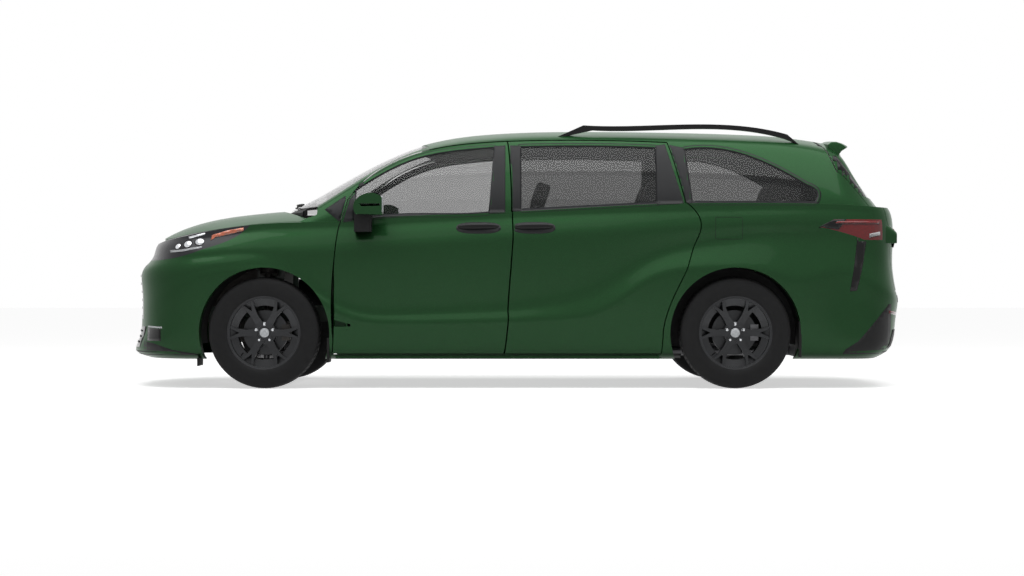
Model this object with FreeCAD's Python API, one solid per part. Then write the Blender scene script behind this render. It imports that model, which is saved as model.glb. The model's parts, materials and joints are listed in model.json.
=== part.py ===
"""Long-wheelbase passenger minivan: body panels, doors, glass, wheels, suspension and cabin.

Millimetres, +Z up. X runs from the nose (negative) to the tail (positive), and the left side of the
vehicle is at negative Y. The origin is on the ground, midway between the bumpers.
Places along the body are stations: -1 is the nose, 0 the front axle, 1 the rear axle and 2 the tail.
Widths are shares of the half width, and heights are shares of the roof height.
"""
import FreeCAD
import Part
import math
import os

V = FreeCAD.Vector

# Overall sizes
wheelbase = 3060.0
front_overhang = 958.0
rear_overhang = 1156.0
half_width = 997.0
roof_height = 1725.0

# Fits
sewing_tolerance = 0.01
panel_gap = 7.0
running_fit = 0.3
overrun = 60.0

# Walls
body_wall = 105.0
pillar_depth = 45.0
rail_depth = 100.0
bonnet_depth = 28.0
glass_inset = 3.0
glass_thickness = 5.0
shut_slant_share = 0.28

# Structure inboard of the doors
post_clearance = 14.0
pillar_width = 90.0
pillar_outer = 785.0
post_depth = 50.0
sill_inner = 700.0
sill_outer = 770.0
sill_low = 192.0
sill_lip = 22.0
well_clearance = 10.0
runner_height = 22.0

# Floor, bulkhead and front frame
floor_height = 300.0
rear_floor_height = 440.0
floor_depth = 40.0
bulkhead_depth = 40.0
shelf_depth = 40.0
frame_rail_inner = 440.0
frame_rail_outer = 520.0
frame_rail_low = 430.0
frame_rail_high = 530.0
rear_rail_inner = 470.0
rear_rail_outer = 530.0
rear_rail_low = 312.0
crash_beam_depth = 40.0
tower_outer = 690.0
tower_reach = 90.0
tower_plate = 25.0
liner_wall = 4.0

# Wheels
tyre_radius = 363.0
tyre_width = 235.0
bead_radius = 230.0
rim_radius = 241.0
rim_width = 200.0
rim_lip = 8.0
rim_wall = 7.0
well_depth = 46.0
hub_radius = 75.0
spoke_count = 6
spoke_depth = 42.0
disc_radius = 146.0
disc_depth = 28.0
disc_inset = 18.0
stub_radius = 30.0
stub_depth = 50.0
track_half = 852.0
arch_radius = 424.0

# Front and rear axles
ball_joint_inset = 76.0
ball_joint_drop = 141.0
ball_pin_radius = 9.0
strut_top_inset = 252.0
strut_top_height = 960.0
strut_radius = 26.0
spring_radius = 58.0
spring_low = 745.0
spring_high = 915.0
piston_radius = 11.0
upright_half = 28.0
upright_depth = 48.0
upright_rise = 105.0
arm_depth = 20.0
subframe_half = 505.0
rear_beam_half = 449.0
rear_spring_y = 600.0
rear_spring_radius = 45.0
rack_radius = 28.0

# Cabin
seat_width = 520.0
seat_depth = 520.0
seat_back_height = 640.0
seat_back_depth = 120.0
seat_back_angle = 20.0
cushion_depth = 130.0
cushion_top = 640.0
pedestal_inset = 60.0
headrest_width = 260.0
headrest_height = 160.0
headrest_depth = 100.0
headrest_gap = 20.0
bench_width = 1140.0

steering_radius = 185.0
steering_grip = 15.0
boss_radius = 62.0
boss_depth = 42.0
column_radius = 28.0
column_length = 190.0
column_angle = 65.0

# Engine and exhaust
engine_half = 399.0
engine_mount = 60.0
pipe_radius = 32.0
pipe_height = 220.0
silencer_half = 399.0
silencer_low = 190.0
silencer_high = 270.0
hanger_size = 24.0

# Tow receiver
receiver_outer = 64.0
receiver_bore = 50.8
receiver_depth = 180.0
receiver_height = 258.0
cross_tube_half = 548.0
bumper_notch = 45.0

# Hinges and pins
pin_radius = 6.0
barrel_radius = 13.0
arm_radius = 10.0
pin_skin = 2.0
pocket_reach = 24.0
hinge_height = 60.0
hinge_inset = 75.0
knuckle_length = 20.0
plate_depth = 20.0
neck_radius = 114.0
gate_hinge_inset = 90.0
gate_hinge_drop = 52.0
gate_gap = 8.0
notch_reach = 34.0
cowl_gap = 22.0
cowl_drop = 12.0

# Derived places
# Levels and places as shares of the height or half width
bonnet_base_share = 0.50
cowl_base_share = 0.58
roof_base_share = 0.80
gate_lug_share = 0.9550
tail_lamp_inner_share = 0.820
liner_low_share = 0.80

# Grille
grille_recess = 30.0
slat_count = 6
slat_pitch = 54.0
slat_depth = 16.0
slat_low_share = 0.2750

# Tyre section: (share of the half width, share of the tyre radius) from the outer bead round the tread
tyre_shoulder_shares = [(1.00, 0.790), (0.90, 0.945), (0.66, 1.000)]
# Wheel face: one spoke as (radius share of the bead seat, half width share of the hub radius)
spoke_shares = [(0.20, 0.34), (0.52, 0.27), (0.80, 0.40), (0.985, 0.66)]
fork_shares = [(0.70, 0.00), (0.955, 0.36)]

overall_length = front_overhang + wheelbase + rear_overhang
front_axle_x = front_overhang - overall_length / 2
rear_axle_x = front_axle_x + wheelbase
side_limit = half_width + overrun
pillar_front_x = front_axle_x + arch_radius + liner_wall + well_clearance
hinge_pillar_x = pillar_front_x + pillar_width


def x_at(station):
    """X of a station along the body."""
    if station < 0:
        return front_axle_x + station * front_overhang
    if station > 1:
        return rear_axle_x + (station - 1) * rear_overhang
    return front_axle_x + station * wheelbase


def follow(table, at, column=1):
    """Value of one column of a table whose rows start with a station, by straight interpolation."""
    if at <= table[0][0]:
        return table[0][column]
    for low, high in zip(table, table[1:]):
        if at <= high[0]:
            part = (at - low[0]) / (high[0] - low[0])
            return low[column] + part * (high[column] - low[column])
    return table[-1][column]


def mirrored(shape):
    return shape.mirror(V(0, 0, 0), V(0, 1, 0))


def both_sides(shape):
    return Part.Compound([shape, mirrored(shape)])


def block(x_low, x_high, y_low, y_high, z_low, z_high):
    corner = V(min(x_low, x_high), min(y_low, y_high), min(z_low, z_high))
    return Part.makeBox(abs(x_high - x_low), abs(y_high - y_low), abs(z_high - z_low), corner)


def rod(start, end, radius):
    return Part.makeCylinder(radius, (end - start).Length, start, end - start)


def fused(shapes):
    first = shapes[0]
    return first.fuse(shapes[1:]).removeSplitter() if len(shapes) > 1 else first


# Outlines drawn as runs: a run of one place is a straight line from the last, a longer run a smooth curve
def side_place(point):
    """(station, height share) as a place in the side view."""
    return V(x_at(point[0]), 0, point[1] * roof_height)


def plan_place(point):
    """(station, width share) as a place in the plan view."""
    return V(x_at(point[0]), point[1] * half_width, 0)


def end_place(point):
    """(width share, height share) as a place in the end view."""
    return V(0, point[0] * half_width, point[1] * roof_height)


def drawn(runs, place, gap=0.0):
    """Closed wire from the first run's place through the other runs, grown outwards by a gap."""
    placed = [[place(p) for p in run] for run in runs]
    if (placed[-1][-1] - placed[0][0]).Length > sewing_tolerance:
        placed.append([placed[0][0]])
    if gap:
        loop = [p for run in placed for p in run][:-1]
        moved = grown_loop(loop, gap)
        moved.append(moved[0])
        for run in placed:
            run[:] = [moved.pop(0) for _ in run]
    edges = []
    last = placed[0][0]
    for run in placed[1:]:
        points = [last] + run
        if len(points) == 2:
            edges.append(Part.makeLine(points[0], points[1]))
        else:
            curve = Part.BSplineCurve()
            curve.interpolate(points)
            edges.append(curve.toShape())
        last = points[-1]
    return Part.Wire(edges)


def grown_loop(loop, gap):
    """Corners of a flat loop, each moved outwards so that its sides move by the gap."""
    area = V(0, 0, 0)
    for p, q in zip(loop, loop[1:] + loop[:1]):
        area += (p - loop[0]).cross(q - loop[0])
    area.normalize()
    moved = []
    for before, at, after in zip(loop[-1:] + loop[:-1], loop, loop[1:] + loop[:1]):
        first = (at - before).cross(area).normalize()
        second = (after - at).cross(area).normalize()
        moved.append(at + (first + second) * (gap / (1 + first.dot(second))))
    return moved


def side_prism(wire):
    """Left-hand block whose side view is the outline."""
    face = Part.Face(wire)
    face.translate(V(0, -side_limit, 0))
    return face.extrude(V(0, side_limit - sewing_tolerance, 0))


def side_prism_whole(wire):
    """Block across the whole width whose side view is the outline."""
    face = Part.Face(wire)
    face.translate(V(0, -side_limit, 0))
    return face.extrude(V(0, 2 * side_limit, 0))


# Half width of the outer skin at a height, for outlines cut by slanted shut faces
skin_width_shares = [(0.0, 0.975), (0.56, 0.985), (0.66, 0.930), (0.95, 0.700)]


def slanted_place(point):
    """Place in the side view, moved so that a slanted block passes through it at the skin."""
    depth = (1 - follow(skin_width_shares, point[1])) * half_width
    return side_place(point) + V(shut_slant_share * depth, 0, 0)


def slanted_prism(wire):
    """Left-hand block whose faces run forwards as they run inwards, so that a door swings clear."""
    face = Part.Face(wire)
    face.translate(V(shut_slant_share * overrun, -side_limit, 0))
    return face.extrude(V(-shut_slant_share * side_limit, side_limit, 0))


def plan_prism(wire, low=0.0, high=None):
    face = Part.Face(wire)
    face.translate(V(0, 0, low))
    return face.extrude(V(0, 0, (high or roof_height + overrun) - low))


def end_prism(wire, x_low, x_high):
    face = Part.Face(wire)
    face.translate(V(x_low, 0, 0))
    return face.extrude(V(x_high - x_low, 0, 0))


def net_surface(net):
    """Smooth cubic surface drawn by a net of control points."""
    columns, rows = len(net), len(net[0])
    surface = Part.BSplineSurface()
    surface.buildFromPolesMultsKnots(
        net,
        [4] + [1] * (columns - 4) + [4],
        [4] + [1] * (rows - 4) + [4],
        list(range(columns - 2)),
        list(range(rows - 2)),
        False,
        False,
        3,
        3,
    )
    return surface


def mirrored_net(net):
    return [[V(p.x, -p.y, p.z) for p in column] for column in net]


def solid_from(faces):
    skin = Part.Compound(faces)
    skin.sewShape(sewing_tolerance)
    solid = Part.Solid(skin.Shells[0])
    if solid.Volume < 0:
        solid.reverse()
    return solid


def net_block(net, floor):
    """Closed solid under a net whose four borders lie in upright planes or in the flat floor."""
    surface = net_surface(net)
    u_low, u_high, v_low, v_high = surface.bounds()
    faces = [surface.toShape()]
    base = []
    for border in (surface.vIso(v_low), surface.uIso(u_high), surface.vIso(v_high), surface.uIso(u_low)):
        edge = border.toShape()
        start, end = (v.Point for v in edge.Vertexes)
        if edge.BoundBox.ZMax - floor < sewing_tolerance:
            base.append(edge)
            continue
        feet = [V(p.x, p.y, floor) for p in (start, end)]
        foot_line = Part.makeLine(feet[0], feet[1])
        legs = [Part.makeLine(p, q) for p, q in zip((start, end), feet) if (p - q).Length > sewing_tolerance]
        faces.append(Part.Face(Part.Wire(Part.__sortEdges__([edge, foot_line] + legs))))
        base.append(foot_line)
    faces.append(Part.Face(Part.Wire(Part.__sortEdges__(base))))
    return solid_from(faces)


# Lower body: rows of control points from the bottom edge up, each running from nose to tail
# Side rows give (station, width share, height share)
crest_shares = [
    (-0.40, 0.965, 0.434), (-0.20, 0.985, 0.443), (0.00, 0.990, 0.448), (0.09, 0.985, 0.394),
    (0.16, 0.972, 0.252), (0.24, 0.975, 0.250), (0.35, 0.977, 0.251), (0.44, 0.978, 0.254),
    (0.54, 0.979, 0.259), (0.63, 0.981, 0.266), (0.70, 0.984, 0.281), (0.75, 0.988, 0.330),
    (0.795, 0.992, 0.394), (0.84, 0.996, 0.439), (0.90, 1.000, 0.455), (1.05, 1.000, 0.459),
    (1.20, 0.996, 0.443), (1.33, 0.985, 0.406), (1.45, 0.975, 0.419), (1.54, 0.960, 0.443),
    (1.62, 0.940, 0.455),
]
valley_shares = [
    (-0.40, 0.958, 0.468), (-0.20, 0.975, 0.478), (0.00, 0.978, 0.483), (0.09, 0.968, 0.424),
    (0.16, 0.955, 0.296), (0.24, 0.950, 0.288), (0.35, 0.947, 0.294), (0.44, 0.946, 0.302),
    (0.54, 0.946, 0.311), (0.63, 0.947, 0.335), (0.70, 0.948, 0.370), (0.75, 0.947, 0.419),
    (0.795, 0.945, 0.473), (0.84, 0.943, 0.510), (0.90, 0.938, 0.537), (1.00, 0.934, 0.562),
    (1.14, 0.930, 0.577), (1.33, 0.926, 0.572), (1.45, 0.920, 0.570), (1.54, 0.912, 0.569),
    (1.62, 0.900, 0.567),
]
shoulder_shares = [
    (-0.40, 0.925, 0.512), (-0.20, 0.950, 0.522), (0.00, 0.965, 0.522), (0.09, 0.975, 0.517),
    (0.17, 0.983, 0.516), (0.24, 0.985, 0.530), (0.35, 0.985, 0.548), (0.44, 0.985, 0.558),
    (0.54, 0.984, 0.572), (0.63, 0.982, 0.583), (0.71, 0.978, 0.591), (0.80, 0.970, 0.600),
    (0.88, 0.962, 0.608), (0.97, 0.954, 0.621), (1.14, 0.948, 0.628), (1.37, 0.938, 0.631),
    (1.54, 0.920, 0.633), (1.62, 0.905, 0.633),
]
belt_shares = [
    (-0.40, 0.860, 0.581), (-0.20, 0.890, 0.601), (0.00, 0.908, 0.621), (0.10, 0.922, 0.631),
    (0.17, 0.932, 0.634), (0.35, 0.938, 0.650), (0.50, 0.940, 0.663), (0.65, 0.940, 0.674),
    (0.80, 0.938, 0.684), (0.95, 0.935, 0.689), (1.40, 0.922, 0.690), (1.62, 0.895, 0.685),
]
# (height share at the nose, nose station, height share at the tail, tail station), bottom row first
end_shares = [
    (0.110, -0.890, 0.110, 1.860), (0.120, -0.965, 0.130, 1.930), (0.139, -1.015, 0.170, 1.965),
    (0.178, -0.950, 0.235, 1.975), (0.240, -0.945, 0.285, 1.985), (0.300, -0.945, 0.318, 1.995),
    (0.350, -0.945, 0.350, 1.985), (0.400, -0.957, 0.395, 1.972), (0.445, -0.960, 0.450, 1.960),
    (0.476, -0.890, 0.500, 1.960), (0.508, -0.853, 0.570, 1.966), (0.540, -0.850, 0.620, 1.965),
    (0.570, -0.800, 0.665, 1.957), (0.610, -0.730, 0.700, 1.930), (0.800, -0.500, 0.800, 1.750),
]
side_station_shares = [
    -0.40, -0.30, -0.20, -0.10, 0.00, 0.07, 0.13, 0.20, 0.28, 0.36, 0.44, 0.52, 0.59, 0.65, 0.70, 0.745,
    0.79, 0.835, 0.88, 0.93, 0.98, 1.08, 1.20, 1.31, 1.42, 1.52, 1.62,
]
front_corner_angles = [0, 10, 22, 34, 46, 58, 70, 81]
rear_corner_angles = [81, 68, 55, 42, 28, 14, 0]
front_corner_power_share = 2.5
rear_corner_power_share = 3.2


def side_rows(station):
    """(width share, height share) of each control row on the body side at a station, bottom first."""
    crest_y, crest_z = follow(crest_shares, station), follow(crest_shares, station, 2)
    valley_y, valley_z = follow(valley_shares, station), follow(valley_shares, station, 2)
    shoulder_y, shoulder_z = follow(shoulder_shares, station), follow(shoulder_shares, station, 2)
    belt_y, belt_z = follow(belt_shares, station), follow(belt_shares, station, 2)
    above = belt_z - shoulder_z
    return [
        (0.800, 0.110),
        (0.905, 0.120),
        (0.938, 0.142),
        (crest_y - 0.018, 0.142 + 0.55 * (crest_z - 0.142)),
        (crest_y - 0.003, crest_z - 0.014),
        (crest_y - 0.002, crest_z + 0.006),
        (0.5 * (crest_y + valley_y) - 0.004, crest_z + 0.55 * (valley_z - crest_z)),
        (valley_y, valley_z),
        (0.35 * valley_y + 0.65 * shoulder_y, 0.5 * (valley_z + shoulder_z)),
        (shoulder_y + 0.001, shoulder_z - 0.012),
        (shoulder_y, shoulder_z + 0.006),
        (0.45 * shoulder_y + 0.55 * belt_y, shoulder_z + 0.55 * above),
        (belt_y - 0.003, shoulder_z + 0.78 * above),
        (belt_y + 0.001, belt_z),
        (belt_y - 0.020, 0.800),
    ]


def lower_body_net(inset=0.0):
    """Control net of the left half of the body sides and ends, moved inwards by a distance."""
    columns = []
    first = side_station_shares[0]
    last = side_station_shares[-1]
    front = side_rows(first)
    rear = side_rows(last)
    nose_back = inset / front_overhang
    tail_back = inset / rear_overhang
    for angle in front_corner_angles:
        a = math.radians(angle)
        along = math.cos(a) ** (2 / front_corner_power_share)
        across = math.sin(a) ** (2 / front_corner_power_share)
        column = []
        for (width, height), end in zip(front, end_shares):
            level = height + (end[0] - height) * along
            station = first + (end[1] + nose_back - first) * along
            column.append(V(x_at(station), -across * (width * half_width - inset), level * roof_height))
        columns.append(column)
    for station in side_station_shares:
        columns.append([V(x_at(station), inset - y * half_width, z * roof_height) for y, z in side_rows(station)])
    for angle in rear_corner_angles:
        a = math.radians(angle)
        along = math.cos(a) ** (2 / rear_corner_power_share)
        across = math.sin(a) ** (2 / rear_corner_power_share)
        column = []
        for (width, height), end in zip(rear, end_shares):
            level = height + (end[2] - height) * along
            station = last + (end[3] - tail_back - last) * along
            column.append(V(x_at(station), -across * (width * half_width - inset), level * roof_height))
        columns.append(column)
    for end, beside in ((columns[0], columns[1]), (columns[-1], columns[-2])):
        for tip, near in zip(end, beside):
            tip.y = 0
            near.x, near.z = tip.x, tip.z
    return columns


def lower_body(inset=0.0):
    """Closed solid inside the bumpers and body sides, up to a flat top above the bonnet."""
    net = lower_body_net(inset)
    sides = [net_surface(net), net_surface(mirrored_net(net))]
    faces = [s.toShape() for s in sides]
    low, high = sides[0].bounds()[2:]
    for level in (low, high):
        faces.append(Part.Face(Part.Wire([s.vIso(level).toShape() for s in sides])))
    return solid_from(faces)


# Top surface: bonnet, scuttle, belt shelf and tail ledge
# (station, height share at the centre, height share at the edge)
top_shares = [
    (-1.10, 0.470, 0.360), (-0.95, 0.515, 0.420), (-0.86, 0.548, 0.462), (-0.76, 0.586, 0.500),
    (-0.64, 0.618, 0.540), (-0.48, 0.646, 0.572), (-0.30, 0.664, 0.594), (-0.15, 0.673, 0.608),
    (-0.03, 0.680, 0.618), (0.05, 0.688, 0.624), (0.11, 0.690, 0.627), (0.166, 0.690, 0.630),
    (0.24, 0.690, 0.646), (0.35, 0.692, 0.655), (0.50, 0.696, 0.663), (0.65, 0.702, 0.679),
    (0.83, 0.708, 0.697), (0.95, 0.710, 0.700), (1.20, 0.710, 0.700), (1.45, 0.710, 0.698),
    (1.65, 0.706, 0.692), (1.80, 0.698, 0.684), (1.92, 0.692, 0.676), (2.10, 0.684, 0.664),
]
top_width_shares = [-1.20, -1.02, -0.93, -0.82, -0.62, -0.35, 0.0, 0.35, 0.62, 0.82, 0.93, 1.02, 1.20]
top_edge_share = 0.93
top_crown_power_share = 2.4


def top_net(drop=0.0):
    net = []
    for station, centre, edge in top_shares:
        column = []
        for width in top_width_shares:
            bend = (abs(width) / top_edge_share) ** top_crown_power_share
            level = (centre + (edge - centre) * bend) * roof_height - drop
            column.append(V(x_at(station), width * half_width, level))
        net.append(column)
    return net


# Greenhouse: pillars, glass and roof as one smooth form
# (station, roof height share at the centre, crown height share, crest width share, belt width share)
house_shares = [
    (-0.020, 0.640, 0.070, 0.890, 0.910), (0.010, 0.664, 0.075, 0.885, 0.912), (0.048, 0.700, 0.080, 0.875, 0.915),
    (0.093, 0.742, 0.081, 0.865, 0.920), (0.138, 0.789, 0.078, 0.850, 0.922), (0.183, 0.833, 0.070, 0.828, 0.922),
    (0.228, 0.875, 0.060, 0.802, 0.922), (0.273, 0.911, 0.052, 0.775, 0.922), (0.318, 0.942, 0.049, 0.750, 0.922),
    (0.363, 0.963, 0.048, 0.730, 0.922), (0.408, 0.977, 0.047, 0.716, 0.922), (0.454, 0.987, 0.047, 0.708, 0.922),
    (0.540, 0.997, 0.046, 0.702, 0.922), (0.650, 1.001, 0.046, 0.700, 0.922), (0.800, 0.999, 0.046, 0.700, 0.920),
    (0.950, 0.994, 0.046, 0.698, 0.917), (1.100, 0.988, 0.046, 0.694, 0.912), (1.225, 0.984, 0.046, 0.690, 0.907),
    (1.344, 0.977, 0.046, 0.684, 0.900), (1.464, 0.967, 0.047, 0.675, 0.890), (1.560, 0.957, 0.050, 0.663, 0.878),
    (1.610, 0.948, 0.055, 0.655, 0.870), (1.650, 0.925, 0.060, 0.647, 0.862), (1.690, 0.882, 0.064, 0.640, 0.853),
    (1.740, 0.832, 0.064, 0.630, 0.840), (1.800, 0.774, 0.062, 0.615, 0.820), (1.850, 0.732, 0.060, 0.600, 0.800),
    (1.900, 0.690, 0.055, 0.580, 0.775), (1.935, 0.650, 0.045, 0.560, 0.750),
]
house_floor_share = 0.550
house_lift_share = 0.040


def house_rows(crest_z, crest_y, belt_y, crown):
    """Half section from the base at the side up to the middle of the roof: (width share, height share)."""
    belt_z = min(0.680, 0.5 * (crest_z + house_floor_share) + 0.01)
    rise = crest_z - belt_z
    lean = belt_y - crest_y
    return [
        (belt_y - 0.010, house_floor_share),
        (belt_y - 0.004, 0.5 * (house_floor_share + belt_z)),
        (belt_y, belt_z),
        (belt_y - 0.20 * lean, belt_z + 0.30 * rise),
        (belt_y - 0.44 * lean, belt_z + 0.60 * rise),
        (belt_y - 0.68 * lean, belt_z + 0.84 * rise),
        (crest_y + 0.14 * lean, belt_z + 0.955 * rise),
        (crest_y - 0.012, crest_z + 0.05 * crown),
        (0.80 * crest_y, crest_z + 0.42 * crown),
        (0.45 * crest_y, crest_z + 0.86 * crown),
        (0.0, crest_z + crown),
    ]


def house_net(inset=0.0):
    """Control net of the greenhouse, moved inwards by a distance."""
    net = []
    last = len(house_shares) - 1
    for i, (station, top, crown, crest_y, belt_y) in enumerate(house_shares):
        before, after = house_shares[max(i - 1, 0)], house_shares[min(i + 1, last)]
        run = x_at(after[0]) - x_at(before[0])
        climb = (after[1] - before[1]) * roof_height
        slope = math.hypot(run, climb)
        shift = V(inset * climb / slope, 0, -inset * run / slope)
        crest = max(top - crown + shift.z / roof_height, house_floor_share + house_lift_share)
        narrowing = 1 - inset / (crest_y * half_width)
        half = []
        for y, z in house_rows(crest, crest_y, belt_y, crown):
            half.append(V(x_at(station) + shift.x, -y * narrowing * half_width, z * roof_height))
        net.append(half + [V(p.x, -p.y, p.z) for p in reversed(half[:-1])])
    return net


def house(inset=0.0):
    """Closed solid under the roof and glass, moved inwards by a distance."""
    return net_block(house_net(inset), house_floor_share * roof_height)


# Side outlines: (station, height share)
front_door_runs = [
    [(0.1500, 0.132)],
    [(0.1508, 0.4000)],
    [(0.1532, 0.5256), (0.1637, 0.623)],
    [(0.1780, 0.712)],
    [(0.2412, 0.824), (0.3258, 0.893), (0.3997, 0.921), (0.5130, 0.937)],
    [(0.5130, 0.132)],
]
sliding_door_runs = [
    [(0.5160, 0.132)],
    [(0.5160, 0.937)],
    [(0.6500, 0.941), (0.8560, 0.932)],
    [(0.8940, 0.698)],
    [(0.9250, 0.593), (0.9155, 0.5406), (0.8922, 0.443), (0.8624, 0.3265), (0.8477, 0.2214)],
    [(0.8477, 0.132)],
]
front_glass_runs = [
    [(0.1905, 0.632)],
    [(0.1905, 0.750)],
    [(0.2412, 0.8082), (0.3258, 0.8766), (0.3997, 0.9031), (0.4895, 0.9180)],
    [(0.4850, 0.7800), (0.4787, 0.6630)],
    [(0.3600, 0.6560), (0.2412, 0.6487), (0.1905, 0.632)],
]
sliding_glass_runs = [
    [(0.5421, 0.6715)],
    [(0.5421, 0.9200)],
    [(0.6900, 0.9230), (0.8362, 0.9164)],
    [(0.8362, 0.6985)],
    [(0.6900, 0.6850), (0.5421, 0.6715)],
]
quarter_glass_runs = [
    [(0.9069, 0.7010)],
    [(0.8930, 0.9090)],
    [(1.0138, 0.9004), (1.2300, 0.8440), (1.4110, 0.7740)],
    [(1.4786, 0.7360), (1.4600, 0.7010)],
    [(0.9069, 0.7010)],
]
# Everything ahead of the front door, up to the foot of the pillar
fender_runs = [
    [(0.1480, 0.050)],
    [(0.1480, 0.132)],
    [(0.1512, 0.5256), (0.1617, 0.623)],
    [(0.1617, 0.800)],
    [(-1.200, 0.800)],
    [(-1.200, 0.050)],
]
front_bumper_runs = [
    [(-0.4000, 0.050)],
    [(-0.4450, 0.300), (-0.4150, 0.5200)],
    [(-0.6186, 0.4900), (-0.7800, 0.4950)],
    [(-1.2000, 0.4950)],
    [(-1.2000, 0.0500)],
]
headlamp_runs = [
    [(-0.4265, 0.5240)],
    [(-0.6186, 0.4930), (-0.9500, 0.4930)],
    [(-0.9500, 0.5500)],
    [(-0.6500, 0.5700), (-0.5000, 0.5950), (-0.3000, 0.6080), (-0.0972, 0.6180)],
    [(-0.1933, 0.5734), (-0.3000, 0.5460), (-0.4265, 0.5240)],
]
tail_lamp_runs = [
    [(1.4786, 0.6081)],
    [(1.5576, 0.6384)],
    [(2.1000, 0.6384)],
    [(2.1000, 0.5608)],
    [(1.7327, 0.5608)],
    [(1.6000, 0.5900), (1.4786, 0.6081)],
]
rear_bumper_runs = [
    [(1.3600, 0.0500)],
    [(1.3800, 0.3000)],
    [(1.6203, 0.3000)],
    [(1.7400, 0.3600)],
    [(2.1000, 0.3600)],
    [(2.1000, 0.0500)],
]
tailgate_side_runs = [
    [(1.3940, 1.1000)],
    [(1.5400, 0.9100)],
    [(1.6600, 0.7200)],
    [(1.7600, 0.6950)],
    [(1.8000, 0.3680)],
    [(2.2000, 0.3680)],
    [(2.2000, 1.1000)],
]
dash_runs = [
    [(0.1560, 0.400)],
    [(0.1560, 0.620)],
    [(0.2000, 0.640), (0.2400, 0.622)],
    [(0.2540, 0.590)],
    [(0.2450, 0.480)],
    [(0.2150, 0.400)],
]
rail_bar_runs = [
    [(0.6124, 0.950)],
    [(0.6800, 1.003)],
    [(0.8893, 1.006), (1.1650, 0.991), (1.3200, 0.968)],
    [(1.3860, 0.930)],
    [(1.3100, 0.950)],
    [(1.1650, 0.973), (0.8893, 0.988), (0.7000, 0.984)],
]
mirror_cap_runs = [
    [(0.1977, 0.655)],
    [(0.1960, 0.700), (0.2150, 0.728), (0.2534, 0.715)],
    [(0.2534, 0.652)],
]
# Lower suspension arm in plan: (share of the tyre radius along, share of the ball joint's offset across)
arm_plan_shares = [(-0.06, 0.93), (-0.06, 1.00), (0.06, 1.00), (0.06, 0.93)]
# Plan outlines: (station, width share), whole width
roof_runs = [
    [(0.3550, -0.620)],
    [(0.3300, -0.300), (0.3300, 0.300), (0.3550, 0.620)],
    [(1.4970, 0.620)],
    [(1.4970, -0.620)],
    [(0.3550, -0.620)],
]
windscreen_runs = [
    [(0.3480, -0.640)],
    [(0.3270, -0.300), (0.3270, 0.300), (0.3480, 0.640)],
    [(0.2200, 0.745), (0.1180, 0.820)],
    [(0.0540, 0.450), (0.0300, 0.000), (0.0540, -0.450), (0.1180, -0.820)],
    [(0.2200, -0.745), (0.3480, -0.640)],
]
bonnet_runs = [
    [(0.1000, -0.885)],
    [(0.0820, -0.790)],
    [(0.0350, -0.450), (0.0140, 0.000), (0.0350, 0.450), (0.0820, 0.790)],
    [(0.1000, 0.885)],
    [(-0.0500, 0.890), (-0.3000, 0.865), (-0.5000, 0.810), (-0.6500, 0.720)],
    [(-0.7350, 0.500), (-0.7700, 0.000), (-0.7350, -0.500), (-0.6500, -0.720)],
    [(-0.5000, -0.810), (-0.3000, -0.865), (-0.0500, -0.890), (0.1000, -0.885)],
]
cowl_runs = [
    [(0.1180, -0.815)],
    [(0.1180, 0.815)],
    [(-0.0300, 0.815)],
    [(-0.0300, -0.815)],
]
# Space inboard of the door frames, left half
cabin_runs = [
    [(-0.0500, 0.000)],
    [(-0.0500, -0.870)],
    [(0.1500, -0.848)],
    [(0.2200, -0.775)],
    [(0.3550, -0.665)],
    [(1.6000, -0.665)],
    [(1.6000, 0.000)],
]
# End outlines: (width share, height share)
tailgate_end_runs = [
    [(-0.760, 1.1000)],
    [(0.760, 1.1000)],
    [(0.760, 0.6400)],
    [(0.700, 0.5500), (0.680, 0.4000)],
    [(0.640, 0.3700)],
    [(-0.640, 0.3700)],
    [(-0.680, 0.4000)],
    [(-0.700, 0.5500), (-0.760, 0.6400)],
]
tailgate_glass_runs = [
    [(-0.600, 0.8950)],
    [(0.600, 0.8950)],
    [(0.700, 0.7250)],
    [(-0.700, 0.7250)],
    [(-0.600, 0.8950)],
]
grille_runs = [
    [(-0.520, 0.4700)],
    [(0.520, 0.4700)],
    [(0.560, 0.2600)],
    [(-0.560, 0.2600)],
    [(-0.520, 0.4700)],
]

# Hinge axes and other places that several pieces share
door_hinge = V(x_at(0.1512) + hinge_inset, -0.955 * half_width, 0)
door_hinge_height_shares = [0.255, 0.500]
bonnet_hinge = V(x_at(0.1000), -0.815 * half_width, 0.6280 * roof_height)
gate_hinge = V(x_at(1.4970) - gate_hinge_inset, -0.250 * half_width, 0.9500 * roof_height - gate_hinge_drop)
ball_joint = V(front_axle_x, ball_joint_inset - track_half, tyre_radius - ball_joint_drop)
strut_top = V(front_axle_x, strut_top_inset - track_half, strut_top_height)
kingpin = (strut_top - ball_joint).normalize()
column_axis = V(math.sin(math.radians(column_angle)), 0, math.cos(math.radians(column_angle)))
steering_centre = V(x_at(0.282), -0.400 * half_width, 0.560 * roof_height)
hitch_mouth = V(x_at(1.975), 0, receiver_height)


def on_kingpin(height):
    """Place on the left steering axis at a height."""
    return ball_joint + kingpin * ((height - ball_joint.z) / kingpin.z)


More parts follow.
